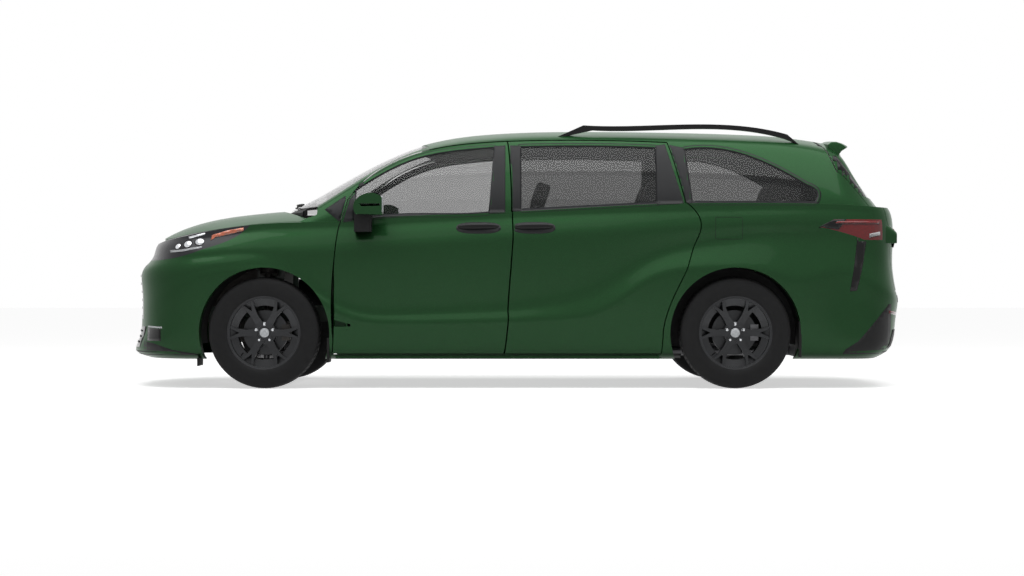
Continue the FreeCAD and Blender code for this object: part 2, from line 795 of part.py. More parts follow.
class Forms:
    """Whole-body forms that the panels are cut from."""

    def __init__(self):
        self.hull = lower_body().common(net_block(top_net(), 0.0))
        self.ring = self.hull.cut(lower_body(body_wall))
        self.outer = house()
        self.upper = self.outer.cut(house(pillar_depth))
        self.rail = self.outer.cut(house(rail_depth))
        post_inset = pillar_depth + post_clearance
        self.post = house(post_inset).cut(house(post_inset + pillar_depth))
        self.glass = house(glass_inset).cut(house(glass_inset + glass_thickness))
        self.left = block(-overall_length, overall_length, -side_limit, 0, 0, roof_height + overrun)
        self.cabin = plan_prism(drawn(cabin_runs, plan_place))
        self.front_door = slanted_prism(drawn(front_door_runs, slanted_place))
        self.front_door_bay = slanted_prism(drawn(front_door_runs, slanted_place, panel_gap))
        self.sliding_door = slanted_prism(drawn(sliding_door_runs, slanted_place))
        self.sliding_door_bay = slanted_prism(drawn(sliding_door_runs, slanted_place, panel_gap))
        self.front_window = side_prism(drawn(front_glass_runs, side_place))
        self.sliding_window = side_prism(drawn(sliding_glass_runs, side_place))
        self.quarter_window = side_prism(drawn(quarter_glass_runs, side_place))
        self.fender = side_prism(drawn(fender_runs, side_place))
        self.bonnet = plan_prism(drawn(bonnet_runs, plan_place), bonnet_base_share * roof_height)
        self.bonnet_bay = plan_prism(drawn(bonnet_runs, plan_place, panel_gap), bonnet_base_share * roof_height)
        self.cowl = plan_prism(drawn(cowl_runs, plan_place), cowl_base_share * roof_height)
        self.roof = plan_prism(drawn(roof_runs, plan_place), roof_base_share * roof_height)
        self.screen = plan_prism(drawn(windscreen_runs, plan_place), bonnet_base_share * roof_height)
        self.gate = end_prism(drawn(tailgate_end_runs, end_place), 0, overall_length).common(
            side_prism_whole(drawn(tailgate_side_runs, side_place)))
        self.gate_bay = end_prism(drawn(tailgate_end_runs, end_place, gate_gap), 0, overall_length).common(
            side_prism_whole(drawn(tailgate_side_runs, side_place, gate_gap)))
        self.gate_roof_bay = side_prism_whole(drawn(tailgate_side_runs, side_place, gate_gap))
        self.tail_lamp = side_prism(drawn(tail_lamp_runs, side_place)).common(
            block(0, overall_length, -side_limit, -tail_lamp_inner_share * half_width, 0, roof_height))
        self.front_bumper = side_prism_whole(drawn(front_bumper_runs, side_place))
        self.rear_bumper = side_prism_whole(drawn(rear_bumper_runs, side_place))
        self.headlamp = side_prism_whole(drawn(headlamp_runs, side_place))
        self.notch = bonnet_corner_notch()


def wheel_arch(x):
    return rod(V(x, -side_limit, tyre_radius), V(x, -0.62 * half_width, tyre_radius), arch_radius)


def largest(shape):
    return max(shape.Solids, key=lambda solid: solid.Volume)


def without(shape, cuts):
    for cut in cuts:
        shape = shape.cut(cut)
    return shape


def bonnet_corner_notch():
    """Space behind a rear corner of the bonnet that the corner and its hinge swing through."""
    low = bonnet_hinge.z - barrel_radius - well_clearance
    corner = block(bonnet_hinge.x - barrel_radius, bonnet_hinge.x + notch_reach, -0.895 * half_width,
                   bonnet_hinge.y, low, 0.70 * roof_height)
    web = block(bonnet_hinge.x - 6 * barrel_radius, bonnet_hinge.x, bonnet_hinge.y - 2 * knuckle_length,
                bonnet_hinge.y + panel_gap, low, 0.70 * roof_height)
    return corner.fuse(web)


def side_panel(forms, prism, cuts=()):
    """Left panel cut from the lower wall and the pillars by a block."""
    panel = forms.ring.common(prism).fuse(forms.upper.common(prism))
    return largest(without(panel, [forms.cabin] + list(cuts)).removeSplitter())


def hinge_levels():
    return [share * roof_height for share in door_hinge_height_shares]


def door_hinge_pockets(door):
    """Pockets behind the door skin for the body's hinge arms, and bores for their pins."""
    for level in hinge_levels():
        door = door.cut(block(door_hinge.x - 2 * hinge_height, door_hinge.x + pocket_reach,
                              door_hinge.y - arm_radius - pin_skin, 0,
                              level - 0.6 * hinge_height, level + 0.6 * hinge_height))
        low = V(door_hinge.x, door_hinge.y, level - hinge_height)
        door = door.cut(rod(low, low + V(0, 0, 2 * hinge_height), pin_radius + running_fit))
    return door


def door_hinge_arms():
    """Body side of the front door hinges: an arm from the hinge pillar to an upright pin."""
    pieces = []
    for level in hinge_levels():
        low, high = level - 0.33 * hinge_height, level + 0.33 * hinge_height
        pin_low = V(door_hinge.x, door_hinge.y, level - 0.95 * hinge_height)
        start, end = door_hinge.x - arm_radius, door_hinge.x + arm_radius
        pieces += [
            rod(pin_low, pin_low + V(0, 0, 1.9 * hinge_height), pin_radius),
            rod(V(door_hinge.x, door_hinge.y, low), V(door_hinge.x, door_hinge.y, high), arm_radius),
            block(start, end, door_hinge.y, -pillar_outer + pin_skin, low, high),
            block(hinge_pillar_x - pillar_depth, end, -pillar_outer, -pillar_outer + pillar_depth, low, high),
        ]
    return pieces


def side_structure(forms):
    """Sill beam, hinge pillar and middle pillar, inboard of the doors."""
    front, back = x_at(0.150), x_at(0.84)
    sill_top = floor_height + floor_depth / 2
    middle = x_at(0.5145)
    post_front, post_back = middle - pillar_width / 2, middle + pillar_width / 2
    pieces = [
        block(front, back, -sill_outer, -sill_inner, sill_low, sill_top),
        block(front, back, -0.88 * half_width, -sill_inner, sill_low, sill_low + sill_lip),
        block(pillar_front_x, hinge_pillar_x, -pillar_outer, -sill_inner, sill_low + 2 * sill_lip,
              cowl_base_share * roof_height),
        block(post_front, post_back, -pillar_outer, post_depth - pillar_outer, sill_low, 0.73 * roof_height),
        largest(forms.post.common(block(post_front, post_back, -side_limit, -0.56 * half_width,
                                        0.68 * roof_height, roof_height))),
    ]
    return fused(pieces + door_hinge_arms())


def side_frame(forms):
    """Left body side: rails over the doors, pillars, sill and rear quarter."""
    bays = [forms.front_door_bay, forms.sliding_door_bay, forms.gate_bay, forms.tail_lamp, forms.notch]
    tail_zone = block(x_at(1.50), overall_length, -0.60 * half_width, 0, 0, roof_height + overrun)
    ring = without(forms.ring.common(forms.left),
                   bays + [forms.fender, forms.bonnet, forms.rear_bumper, wheel_arch(rear_axle_x), tail_zone])
    rail_zone = block(x_at(0.30), x_at(1.49), -side_limit, 0, 0.945 * roof_height, roof_height + overrun)
    inner_zone = block(-overall_length, x_at(1.62), -0.50 * half_width, 0, 0, roof_height + overrun)
    upper = without(forms.upper.common(forms.left).fuse(forms.rail.common(rail_zone)),
                    bays + [forms.quarter_window, forms.roof, forms.screen, forms.cowl, inner_zone, tail_zone,
                            forms.bonnet_bay, forms.hull.common(forms.fender)])
    side = ring.fuse([upper, side_structure(forms)])
    return largest(side.cut(lower_box(0.80)))


def lower_box(width):
    """Space kept free for the underbody between the rear wheels."""
    return block(x_at(0.84), overall_length, -width * half_width, 0, 0, 0.34 * roof_height)


def sliding_door(forms):
    """Left sliding door with its lower rollers over the sill."""
    door = side_panel(forms, forms.sliding_door, [forms.front_door_bay, forms.sliding_window])
    rollers = [
        block(x_at(at), x_at(at) + pillar_width, -0.86 * half_width, -sill_outer - running_fit,
              sill_low + 2 * sill_lip, sill_low + 2 * sill_lip + runner_height)
        for at in (0.56, 0.80)
    ]
    return fused([door] + rollers)


def doors_and_sides(forms, nodes):
    front_door = door_hinge_pockets(side_panel(forms, forms.front_door, [forms.front_window]))
    nodes["front_door_left"] = front_door
    nodes["front_door_right"] = mirrored(front_door)
    nodes["sliding_doors"] = both_sides(sliding_door(forms))
    front_glass = forms.glass.common(forms.front_window)
    nodes["front_door_glass_left"] = front_glass
    nodes["front_door_glass_right"] = mirrored(front_glass)
    glasses = [forms.glass.common(window) for window in (forms.sliding_window, forms.quarter_window)]
    nodes["side_glasses"] = Part.Compound(glasses + [mirrored(pane) for pane in glasses])
    nodes["side_frame_left"] = side_frame(forms)
    nodes["side_frame_right"] = mirrored(nodes["side_frame_left"])
    nodes["tail_lamps"] = both_sides(largest(forms.ring.common(forms.tail_lamp)))


def front_end(forms, nodes):
    """Bonnet, bumper, grille, headlamps and fenders."""
    shell = forms.hull.cut(net_block(top_net(bonnet_depth), 0.0))
    bonnet = largest(shell.common(forms.bonnet).fuse(bonnet_knuckles(forms)))
    nodes["bonnet"] = without(bonnet, bonnet_bores())
    front = forms.ring.cut(forms.bonnet_bay)
    arches = both_sides(wheel_arch(front_axle_x)).Solids
    grille_zone = end_prism(drawn(grille_runs, end_place), -overall_length, x_at(-0.70))
    bumper = front.common(forms.front_bumper)
    nodes["front_bumper"] = largest(without(bumper, [grille_zone, forms.headlamp] + arches))
    nodes["grille"] = grille(forms, grille_zone)
    lamp_side = block(-overall_length, 0, -side_limit, -0.30 * half_width, 0, roof_height)
    nodes["headlamps"] = both_sides(largest(front.common(forms.headlamp).common(lamp_side)))
    inner_zone = block(-overall_length, x_at(0.2), -0.60 * half_width, 0, 0, roof_height)
    fender = without(front.common(forms.fender), [
        side_prism(drawn(front_bumper_runs, side_place)), forms.headlamp, wheel_arch(front_axle_x),
        forms.front_door_bay, inner_zone, forms.notch,
    ])
    nodes["front_fenders"] = both_sides(largest(fender))


def grille(forms, zone):
    """Grille with slats left standing between grooves cut from its face."""
    panel = forms.ring.common(zone).cut(block(x_at(-0.88), 0, -side_limit, side_limit, 0, roof_height))
    core = lower_body(grille_recess)
    for i in range(slat_count):
        level = slat_low_share * roof_height + i * slat_pitch
        half = 0.50 * half_width
        groove = block(-overall_length, x_at(-0.70), -half, half, level, level + slat_pitch - slat_depth).cut(core)
        panel = panel.cut(groove)
    return largest(panel)


def bonnet_knuckles(forms):
    """Barrels under the rear corners of the bonnet."""
    inner, outer = bonnet_hinge.y, bonnet_hinge.y - knuckle_length
    barrel = rod(bonnet_hinge, V(bonnet_hinge.x, outer, bonnet_hinge.z), barrel_radius)
    web = block(bonnet_hinge.x - 5 * barrel_radius, bonnet_hinge.x, inner, outer,
                bonnet_hinge.z - pin_radius - pin_skin, bonnet_hinge.z + pin_radius + pin_skin).common(forms.hull)
    piece = barrel.fuse(web)
    return [piece, mirrored(piece)]


def bonnet_bores():
    bore = rod(bonnet_hinge + V(0, overrun, 0), bonnet_hinge - V(0, overrun, 0), pin_radius + running_fit)
    return [bore, mirrored(bore)]


def bonnet_brackets():
    """Plates on the bulkhead's shelf that carry the bonnet hinge pins."""
    inner = bonnet_hinge.y + running_fit
    plate = block(bonnet_hinge.x - pin_radius - pin_skin, pillar_front_x, inner, inner + plate_depth,
                  cowl_base_share * roof_height - shelf_depth, bonnet_hinge.z + pin_radius)
    pin = rod(V(bonnet_hinge.x, inner + plate_depth / 2, bonnet_hinge.z),
              V(bonnet_hinge.x, bonnet_hinge.y - 0.9 * knuckle_length, bonnet_hinge.z), pin_radius)
    piece = plate.fuse(pin)
    return [piece, mirrored(piece)]


def bulkhead():
    """Wall between engine and cabin, with a shelf that carries the bonnet hinges."""
    top = cowl_base_share * roof_height
    wall = block(pillar_front_x, pillar_front_x + bulkhead_depth, -sill_inner, sill_inner,
                 floor_height - floor_depth, top)
    shelf = block(bonnet_hinge.x - barrel_radius, pillar_front_x + bulkhead_depth, bonnet_hinge.y, -bonnet_hinge.y,
                  top - shelf_depth, top)
    return fused([wall, shelf.cut(both_sides(side_block_over_pillar()))] + bonnet_brackets())


def side_block_over_pillar():
    """Space of the hinge pillar's top, which the shelf stops short of."""
    return block(pillar_front_x, hinge_pillar_x, -side_limit, -sill_inner, 0, roof_height)


def front_glass_and_cowl(forms, nodes):
    nodes["windscreen"] = largest(forms.glass.common(forms.screen).cut(forms.hull))
    cowl = forms.hull.fuse(forms.outer)
    cowl.translate(V(0, 0, -cowl_drop))
    bonnet_swing = plan_prism(drawn(bonnet_runs, plan_place, cowl_gap), bonnet_base_share * roof_height)
    nodes["cowl"] = largest(without(cowl.common(forms.cowl), [bonnet_swing, forms.screen] + bracket_spaces()))


def bracket_spaces():
    """Room round the bonnet hinges, and for the bonnet's rear corners, at the ends of the cowl."""
    hinge = block(bonnet_hinge.x - 2 * barrel_radius, bonnet_hinge.x + notch_reach, -side_limit,
                  bonnet_hinge.y + plate_depth + panel_gap, 0, roof_height)
    corner = block(bonnet_hinge.x - 6 * barrel_radius, bonnet_hinge.x, -side_limit, -0.66 * half_width,
                   0, roof_height)
    space = hinge.fuse(corner)
    return [space, mirrored(space)]


def roof(forms):
    panel = without(forms.upper.common(forms.roof), [forms.screen, forms.gate_roof_bay])
    return fused([largest(panel)] + gate_hinge_brackets())


def tailgate(forms, nodes):
    """Tailgate with its glass cut, hinge arms and spoiler."""
    glass_zone = end_prism(drawn(tailgate_glass_runs, end_place), x_at(1.5), overall_length)
    gate = forms.ring.common(forms.gate).fuse(forms.upper.common(forms.gate)).cut(glass_zone)
    nodes["tailgate"] = fused([largest(gate)] + gate_arms())
    nodes["tailgate_glass"] = largest(forms.glass.common(glass_zone))


def rear_bumper(forms):
    bumper = forms.ring.common(forms.rear_bumper)
    notch = block(0, overall_length, -receiver_outer / 2 - bumper_notch, receiver_outer / 2 + bumper_notch,
                  0, receiver_height + receiver_outer / 2 + bumper_notch)
    return largest(without(bumper, both_sides(wheel_arch(rear_axle_x)).Solids + [notch]))


def gate_hinge_brackets():
    """Lugs under the roof that carry the tailgate's hinge pins."""
    y_low = gate_hinge.y + running_fit
    lug = block(gate_hinge.x - barrel_radius, gate_hinge.x + barrel_radius, y_low, y_low + knuckle_length,
                gate_hinge.z - barrel_radius, gate_lug_share * roof_height)
    pin = rod(V(gate_hinge.x, y_low + knuckle_length, gate_hinge.z),
              V(gate_hinge.x, gate_hinge.y - 0.9 * knuckle_length, gate_hinge.z), pin_radius)
    piece = lug.fuse(pin)
    return [piece, mirrored(piece)]


def gate_arms():
    """Goose-neck arms that carry the tailgate round the rear edge of the roof."""
    face = Part.Face(goose_neck_wire())
    face.translate(V(0, gate_hinge.y - knuckle_length, 0))
    piece = face.extrude(V(0, knuckle_length, 0)).cut(
        rod(gate_hinge - V(0, 2 * knuckle_length, 0), gate_hinge + V(0, knuckle_length, 0),
            pin_radius + running_fit))
    return [piece, mirrored(piece)]


def goose_neck_wire():
    """Side view of a hinge arm: down from the pin, then round and up to the tailgate."""
    def at(radius, angle):
        a = math.radians(angle)
        return V(gate_hinge.x + radius * math.cos(a), 0, gate_hinge.z + radius * math.sin(a))
    inner, outer = neck_radius, neck_radius + barrel_radius
    start, end = -92.0, 14.0
    return Part.Wire([
        Part.Arc(at(barrel_radius, 180), at(barrel_radius, 90), at(barrel_radius, 0)).toShape(),
        Part.makeLine(at(barrel_radius, 0), at(inner, start + 12)),
        Part.Arc(at(inner, start + 12), at(inner, (start + end) / 2), at(inner, end)).toShape(),
        Part.makeLine(at(inner, end), at(outer + barrel_radius, end)),
        Part.Arc(at(outer + barrel_radius, end), at(outer, (start + end) / 2), at(outer, start - 4)).toShape(),
        Part.makeLine(at(outer, start - 4), at(barrel_radius, 180)),
    ])


def revolved(points):
    """Solid turned about the wheel axis from (across, radius) points."""
    corners = [V(0, across, radius) for across, radius in points]
    return Part.Face(Part.makePolygon(corners + corners[:1])).revolve(V(0, 0, 0), V(0, 1, 0), 360)


def tyre(centre):
    half = tyre_width / 2
    bead = rim_width / 2 - rim_lip - running_fit
    lip = rim_radius + rim_lip / 2
    right = [(bead, bead_radius), (bead, lip)] + [(a * half, r * tyre_radius) for a, r in tyre_shoulder_shares]
    left = [(-across, radius) for across, radius in reversed(right)]
    solid = revolved(right + left)
    solid.translate(centre)
    return solid


def spoke_outline(table):
    """Symmetric outline of a spoke that points up, in the wheel's plane."""
    right = [V(width * hub_radius, 0, radius * bead_radius) for radius, width in table]
    left = [V(-p.x, 0, p.z) for p in reversed(right) if p.x > 0]
    return Part.makePolygon(right + left + right[:1])


def wheel_face():
    """Six forked spokes, dished towards the hub."""
    half = rim_width / 2
    deep = half - spoke_depth
    spokes = []
    for i in range(spoke_count):
        spoke = Part.Face(spoke_outline(spoke_shares)).extrude(V(0, -half, 0))
        spoke = spoke.cut(Part.Face(spoke_outline(fork_shares)).extrude(V(0, -half, 0)))
        spoke.rotate(V(0, 0, 0), V(0, 1, 0), 360 / spoke_count * (i + 0.5))
        spokes.append(spoke)
    band = revolved([
        (-half + 2 * rim_lip, bead_radius), (-half + spoke_depth * 0.7, hub_radius),
        (-half + spoke_depth * 0.75, 0.0), (-deep + spoke_depth, 0.0), (-deep + spoke_depth, hub_radius),
        (-deep, bead_radius),
    ])
    return [spoke.common(band) for spoke in spokes]


def wheel(centre, side):
    """Rim with forked spokes, hub and brake disc; side is -1 on the left."""
    half = rim_width / 2
    seat = bead_radius - running_fit
    well = seat - well_depth
    lip, wall = rim_lip, rim_wall
    barrel = revolved([
        (-half, rim_radius), (-half + 0.5 * lip, rim_radius), (-half + lip, seat), (-half + 6 * lip, seat),
        (-half + 8 * lip, well), (half - 6 * lip, well), (half - 4 * lip, seat), (half - lip, seat),
        (half - 0.5 * lip, rim_radius), (half, rim_radius), (half, seat - wall), (half - 4.5 * lip, seat - wall),
        (half - 6.5 * lip, well - wall), (-half + 8.5 * lip, well - wall), (-half + 6.5 * lip, seat - wall),
        (-half, seat - wall),
    ])
    hub = rod(V(0, -half + spoke_depth, 0), V(0, disc_inset + sewing_tolerance, 0), hub_radius)
    disc = rod(V(0, disc_inset, 0), V(0, disc_inset + disc_depth, 0), disc_radius)
    body = fused([barrel, hub, disc] + wheel_face())
    bore_end = disc_inset + disc_depth
    body = body.cut(rod(V(0, bore_end - stub_depth - well_clearance, 0), V(0, bore_end + overrun, 0),
                        stub_radius + running_fit))
    if side > 0:
        body = mirrored(body)
    body.translate(centre)
    return body


def wheel_centre(x, side):
    return V(x, side * track_half, tyre_radius)


def wheels(nodes):
    for place, x, side in (
        ("front_left", front_axle_x, -1), ("front_right", front_axle_x, 1),
        ("rear_left", rear_axle_x, -1), ("rear_right", rear_axle_x, 1),
    ):
        nodes["tyre_" + place] = tyre(wheel_centre(x, side))
        nodes["rim_" + place] = wheel(wheel_centre(x, side), side)


def brake_and_stub(x):
    """Left stub axle and the caliper astride the brake disc."""
    face = disc_inset + disc_depth - track_half
    back = face + well_clearance / 2
    stub = rod(V(x, face - stub_depth, tyre_radius), V(x, back + upright_depth, tyre_radius), stub_radius)
    outer = disc_inset - disc_depth / 2 - track_half
    caliper_half = 0.36 * disc_radius
    caliper = block(x + 0.72 * disc_radius, x + 1.08 * disc_radius, outer, back + disc_depth,
                    tyre_radius - caliper_half, tyre_radius + caliper_half)
    slot = rod(V(x, disc_inset - track_half - well_clearance / 2, tyre_radius), V(x, back, tyre_radius),
               disc_radius + well_clearance / 2)
    bridge = block(x, x + 0.80 * disc_radius, back, back + disc_depth,
                   tyre_radius - ball_joint_inset / 4, tyre_radius + ball_joint_inset / 4)
    return [stub, caliper.cut(slot), bridge]


def knuckle():
    """Left front upright with its stub axle, brake caliper, strut and spring."""
    x, z = front_axle_x, tyre_radius
    back = disc_inset + disc_depth - track_half + well_clearance / 2
    low = ball_joint.z + ball_pin_radius
    upright = block(x - upright_half, x + upright_half, back, back + upright_depth, low, z + upright_rise)
    clamp_y = on_kingpin(z + upright_rise / 2).y
    clamp = block(x - upright_half, x + upright_half, back, clamp_y, z + 0.3 * upright_rise, z + upright_rise)
    strut = rod(on_kingpin(z + 0.5 * upright_rise), on_kingpin(spring_high), strut_radius)
    spring = rod(on_kingpin(spring_low), on_kingpin(spring_high), spring_radius)
    piston = rod(on_kingpin(spring_high), on_kingpin(strut_top_height + tower_plate / 2), piston_radius)
    steering_arm = block(x, x + 4 * upright_half, back + upright_depth / 2, back + upright_depth,
                         z - ball_joint_inset, z - ball_joint_inset + arm_depth)
    piece = fused([upright, clamp, strut, spring, piston, steering_arm] + brake_and_stub(x))
    bore = rod(on_kingpin(low - overrun), on_kingpin(low + 4 * ball_pin_radius), ball_pin_radius + running_fit)
    return piece.cut(bore)


def lower_arm():
    """Left lower suspension arm with the pin of its ball joint."""
    top = ball_joint.z - ball_pin_radius
    plan = [(-0.26, -subframe_half)] + [(along, across * ball_joint.y) for along, across in arm_plan_shares]
    plan.append((0.18, -subframe_half))
    points = [V(front_axle_x + along * tyre_radius, across, top - arm_depth) for along, across in plan]
    plate = Part.Face(Part.makePolygon(points + points[:1])).extrude(V(0, 0, arm_depth))
    boss_low = V(ball_joint.x, ball_joint.y, top - arm_depth)
    boss = rod(boss_low, boss_low + V(0, 0, arm_depth), 2.4 * ball_pin_radius)
    pin = rod(on_kingpin(top - arm_depth / 2), on_kingpin(top + 5 * ball_pin_radius), ball_pin_radius)
    return [plate, boss, pin]


def front_suspension():
    """Subframe with the steering rack and the two lower arms."""
    x, z = front_axle_x, tyre_radius
    top = ball_joint.z - ball_pin_radius
    cross = block(x - 0.38 * tyre_radius, x + 0.40 * tyre_radius, -subframe_half, subframe_half,
                  top - arm_depth, top + arm_depth)
    rack_level = top + arm_depth + 0.8 * rack_radius
    rack_x = x + 0.32 * tyre_radius
    rack = rod(V(rack_x, -subframe_half, rack_level), V(rack_x, subframe_half, rack_level), rack_radius)
    arm = fused(lower_arm())
    post = block(x - 0.10 * tyre_radius, x + 0.10 * tyre_radius, -subframe_half, -frame_rail_inner,
                 top - arm_depth, frame_rail_low - running_fit)
    return fused([cross, rack, arm, mirrored(arm), post, mirrored(post)])


def front_structure():
    """Frame rails with a crash beam, aprons and strut towers ahead of the bulkhead."""
    nose = x_at(-0.72)
    pieces = [block(nose - crash_beam_depth, nose, -frame_rail_outer, frame_rail_outer,
                    frame_rail_low, frame_rail_high)]
    for side in (1, -1):
        rail = block(nose, pillar_front_x - running_fit, -frame_rail_outer, -frame_rail_inner,
                     frame_rail_low, frame_rail_high)
        x_low, x_high = front_axle_x - tower_reach, front_axle_x + tower_reach
        apron = block(x_low, x_high, -frame_rail_outer, tower_plate - frame_rail_outer,
                      frame_rail_high, strut_top_height + tower_plate)
        plate = block(x_low, x_high, -tower_outer, -frame_rail_inner,
                      strut_top_height, strut_top_height + tower_plate)
        plate = plate.cut(rod(on_kingpin(strut_top_height - overrun), on_kingpin(strut_top_height + overrun),
                              piston_radius + running_fit))
        for piece in (rail, apron, plate):
            pieces.append(piece if side == 1 else mirrored(piece))
    return fused(pieces)


def rear_suspension():
    """Cross beam, trailing links, hub carriers, brakes and springs of the rear axle."""
    x, z = rear_axle_x, tyre_radius
    back = disc_inset + disc_depth - track_half + well_clearance / 2
    pieces = [block(x - 1.2 * hub_radius, x + 1.2 * hub_radius, -rear_beam_half, rear_beam_half,
                    z - 1.2 * hub_radius, z - 0.3 * hub_radius)]
    for side in (1, -1):
        carrier = block(x - upright_half, x + upright_half, back, back + upright_depth,
                        z - upright_rise, z + 0.7 * upright_rise)
        link = block(x - 2 * upright_half, x + 2 * upright_half,
                     back + upright_depth / 2, -rear_beam_half + arm_depth,
                     z - upright_rise, z - 0.8 * hub_radius)
        spring = rod(V(x, -rear_spring_y, z - hub_radius),
                     V(x, -rear_spring_y, rear_floor_height - floor_depth - running_fit), rear_spring_radius)
        for piece in [carrier, link, spring] + brake_and_stub(x):
            pieces.append(piece if side == 1 else mirrored(piece))
    return fused(pieces)


def seat(x, y, width, base_height):
    """Seat with pedestal, cushion, leaning back and headrest."""
    low = cushion_top - cushion_depth
    base = block(x, x + seat_depth, y - width / 2, y + width / 2, low, cushion_top)
    pedestal = block(x + pedestal_inset, x + seat_depth - pedestal_inset, y - width / 2 + pedestal_inset,
                     y + width / 2 - pedestal_inset, base_height, low)
    back = block(0, seat_back_depth, -width / 2, width / 2, 0, seat_back_height)
    head_low = seat_back_height + headrest_gap
    head = block(0, headrest_depth, -headrest_width / 2, headrest_width / 2, head_low, head_low + headrest_height)
    neck = block(headrest_depth / 2 - headrest_gap / 2, headrest_depth / 2 + headrest_gap / 2,
                 -headrest_width / 4, headrest_width / 4,
                 seat_back_height - headrest_gap, head_low + headrest_gap)
    pieces = [base, pedestal]
    for piece in (back, head, neck):
        piece.rotate(V(0, 0, 0), V(0, 1, 0), seat_back_angle)
        piece.translate(V(x + seat_depth - seat_back_depth, y, cushion_top - pedestal_inset))
        pieces.append(piece)
    return fused(pieces)


def cabin(nodes):
    nodes["front_seats"] = both_sides(seat(x_at(0.36), -0.40 * half_width, seat_width, floor_height))
    middle = both_sides(seat(x_at(0.60), -0.40 * half_width, seat_width, floor_height))
    rear = seat(x_at(0.88), 0, bench_width, rear_floor_height)
    nodes["rear_seats"] = Part.Compound(middle.Solids + [rear])
    dash = dashboard_form()
    column = rod(steering_centre - column_axis * column_length, steering_centre - column_axis * boss_depth,
                 column_radius)
    nodes["dashboard"] = dash.fuse(column)
    nodes["steering_wheel"] = steering_wheel()


def dashboard_form():
    """Dashboard across the cabin, narrow between the hinge pillars and full width behind them."""
    face = Part.Face(drawn(dash_runs, side_place))
    face.translate(V(0, -pillar_outer, 0))
    dash = face.extrude(V(0, 2 * pillar_outer, 0))
    gap = block(-overall_length, door_hinge.x + arm_radius + running_fit, -side_limit, -sill_inner + running_fit,
                0, roof_height)
    dash = without(dash, [gap, mirrored(gap)])
    behind = block(-overall_length, pillar_front_x + bulkhead_depth, -side_limit, side_limit, 0, roof_height)
    return largest(dash.cut(behind))


def steering_wheel():
    """Rim, spokes and boss round the column's axis."""
    ring = Part.makeTorus(steering_radius, steering_grip)
    spoke = block(-steering_radius, steering_radius, -steering_grip, steering_grip, -boss_depth / 2, 0)
    lower = block(-steering_radius, 0, -steering_grip, steering_grip, -boss_depth / 2, 0)
    lower.rotate(V(0, 0, 0), V(0, 0, 1), 90)
    boss = Part.makeCylinder(boss_radius, boss_depth - running_fit, V(0, 0, -boss_depth + running_fit))
    shape = fused([ring, spoke, lower, boss])
    shape.rotate(V(0, 0, 0), V(0, 0, 1), 90)
    shape.rotate(V(0, 0, 0), V(0, 1, 0), column_angle)
    shape.translate(steering_centre)
    return shape


def floor():
    """Flat cabin floor, raised over the rear axle, with the rear rails beneath."""
    step = x_at(0.84)
    end = x_at(1.70) - running_fit
    front = pillar_front_x + bulkhead_depth + running_fit
    pieces = [
        block(front, step, -sill_inner + running_fit, sill_inner - running_fit,
              floor_height - floor_depth, floor_height),
        block(step - floor_depth, step, -sill_inner + running_fit, sill_inner - running_fit,
              floor_height - floor_depth, rear_floor_height),
        block(step, end, -0.66 * half_width, 0.66 * half_width,
              rear_floor_height - floor_depth, rear_floor_height),
    ]
    for side in (1, -1):
        rail = block(step, end + receiver_outer, -rear_rail_outer, -rear_rail_inner, rear_rail_low,
                     rear_floor_height - floor_depth)
        pieces.append(rail if side == 1 else mirrored(rail))
    return fused(pieces)


def engine():
    """Engine and gearbox as one plain block, with its mounts on the frame rails."""
    pieces = [block(x_at(-0.45), x_at(0.02), -engine_half, engine_half, 0.80 * tyre_radius, 0.55 * roof_height)]
    for station in (-0.35, -0.10):
        mount = block(x_at(station), x_at(station) + engine_mount, -frame_rail_inner + running_fit, -engine_half,
                      frame_rail_low, frame_rail_high)
        pieces += [mount, mirrored(mount)]
    return fused(pieces)


def exhaust():
    """Pipe along the tunnel and a silencer hung ahead of the rear bumper."""
    y = 0.10 * half_width
    pipe = rod(V(x_at(0.16), y, pipe_height), V(x_at(1.45), y, pipe_height), pipe_radius)
    silencer = block(x_at(1.40), x_at(1.62), -silencer_half, silencer_half, silencer_low, silencer_high)
    hangers = [
        block(x_at(1.50), x_at(1.50) + hanger_size, across, across + hanger_size, silencer_high,
              rear_floor_height - floor_depth - running_fit)
        for across in (-0.30 * half_width, 0.28 * half_width)
    ]
    return fused([pipe, silencer] + hangers)


def tow_hitch():
    """Cross tube hung on the rear rails, with a square receiver socket that opens to the rear."""
    half, bore = receiver_outer / 2, receiver_bore / 2
    z = hitch_mouth.z
    tube_x = x_at(1.70)
    cross = block(tube_x, tube_x + receiver_outer, -cross_tube_half, cross_tube_half, z - half, z + half)
    receiver = block(tube_x + receiver_outer, hitch_mouth.x, -half, half, z - half, z + half)
    receiver = receiver.cut(block(hitch_mouth.x - receiver_depth, hitch_mouth.x + overrun,
                                  -bore, bore, z - bore, z + bore))
    bracket = block(tube_x, tube_x + receiver_outer, -rear_rail_outer, -rear_rail_inner, z + half,
                    rear_rail_low - running_fit)
    return fused([cross, receiver, bracket, mirrored(bracket)])


def arch_liners():
    """Half-round liners inside the wheel arches, with an inner wall at the rear."""
    inside = lower_body(body_wall + running_fit)
    pieces = []
    for x, inner in ((front_axle_x, frame_rail_outer + well_clearance), (rear_axle_x, 0.67 * half_width)):
        start, end = V(x, -side_limit, tyre_radius), V(x, -inner, tyre_radius)
        shell = rod(start, end, arch_radius + liner_wall).cut(rod(start, end, arch_radius))
        if x > 0:
            shell = shell.fuse(rod(end, end + V(0, liner_wall, 0), arch_radius + liner_wall))
        shell = shell.common(block(-overall_length, overall_length, -side_limit, 0, liner_low_share * tyre_radius,
                                   roof_height)).common(inside)
        shell = shell.cut(liner_openings(x))
        liner = largest(shell)
        pieces += [liner, mirrored(liner)]
    return Part.Compound(pieces)


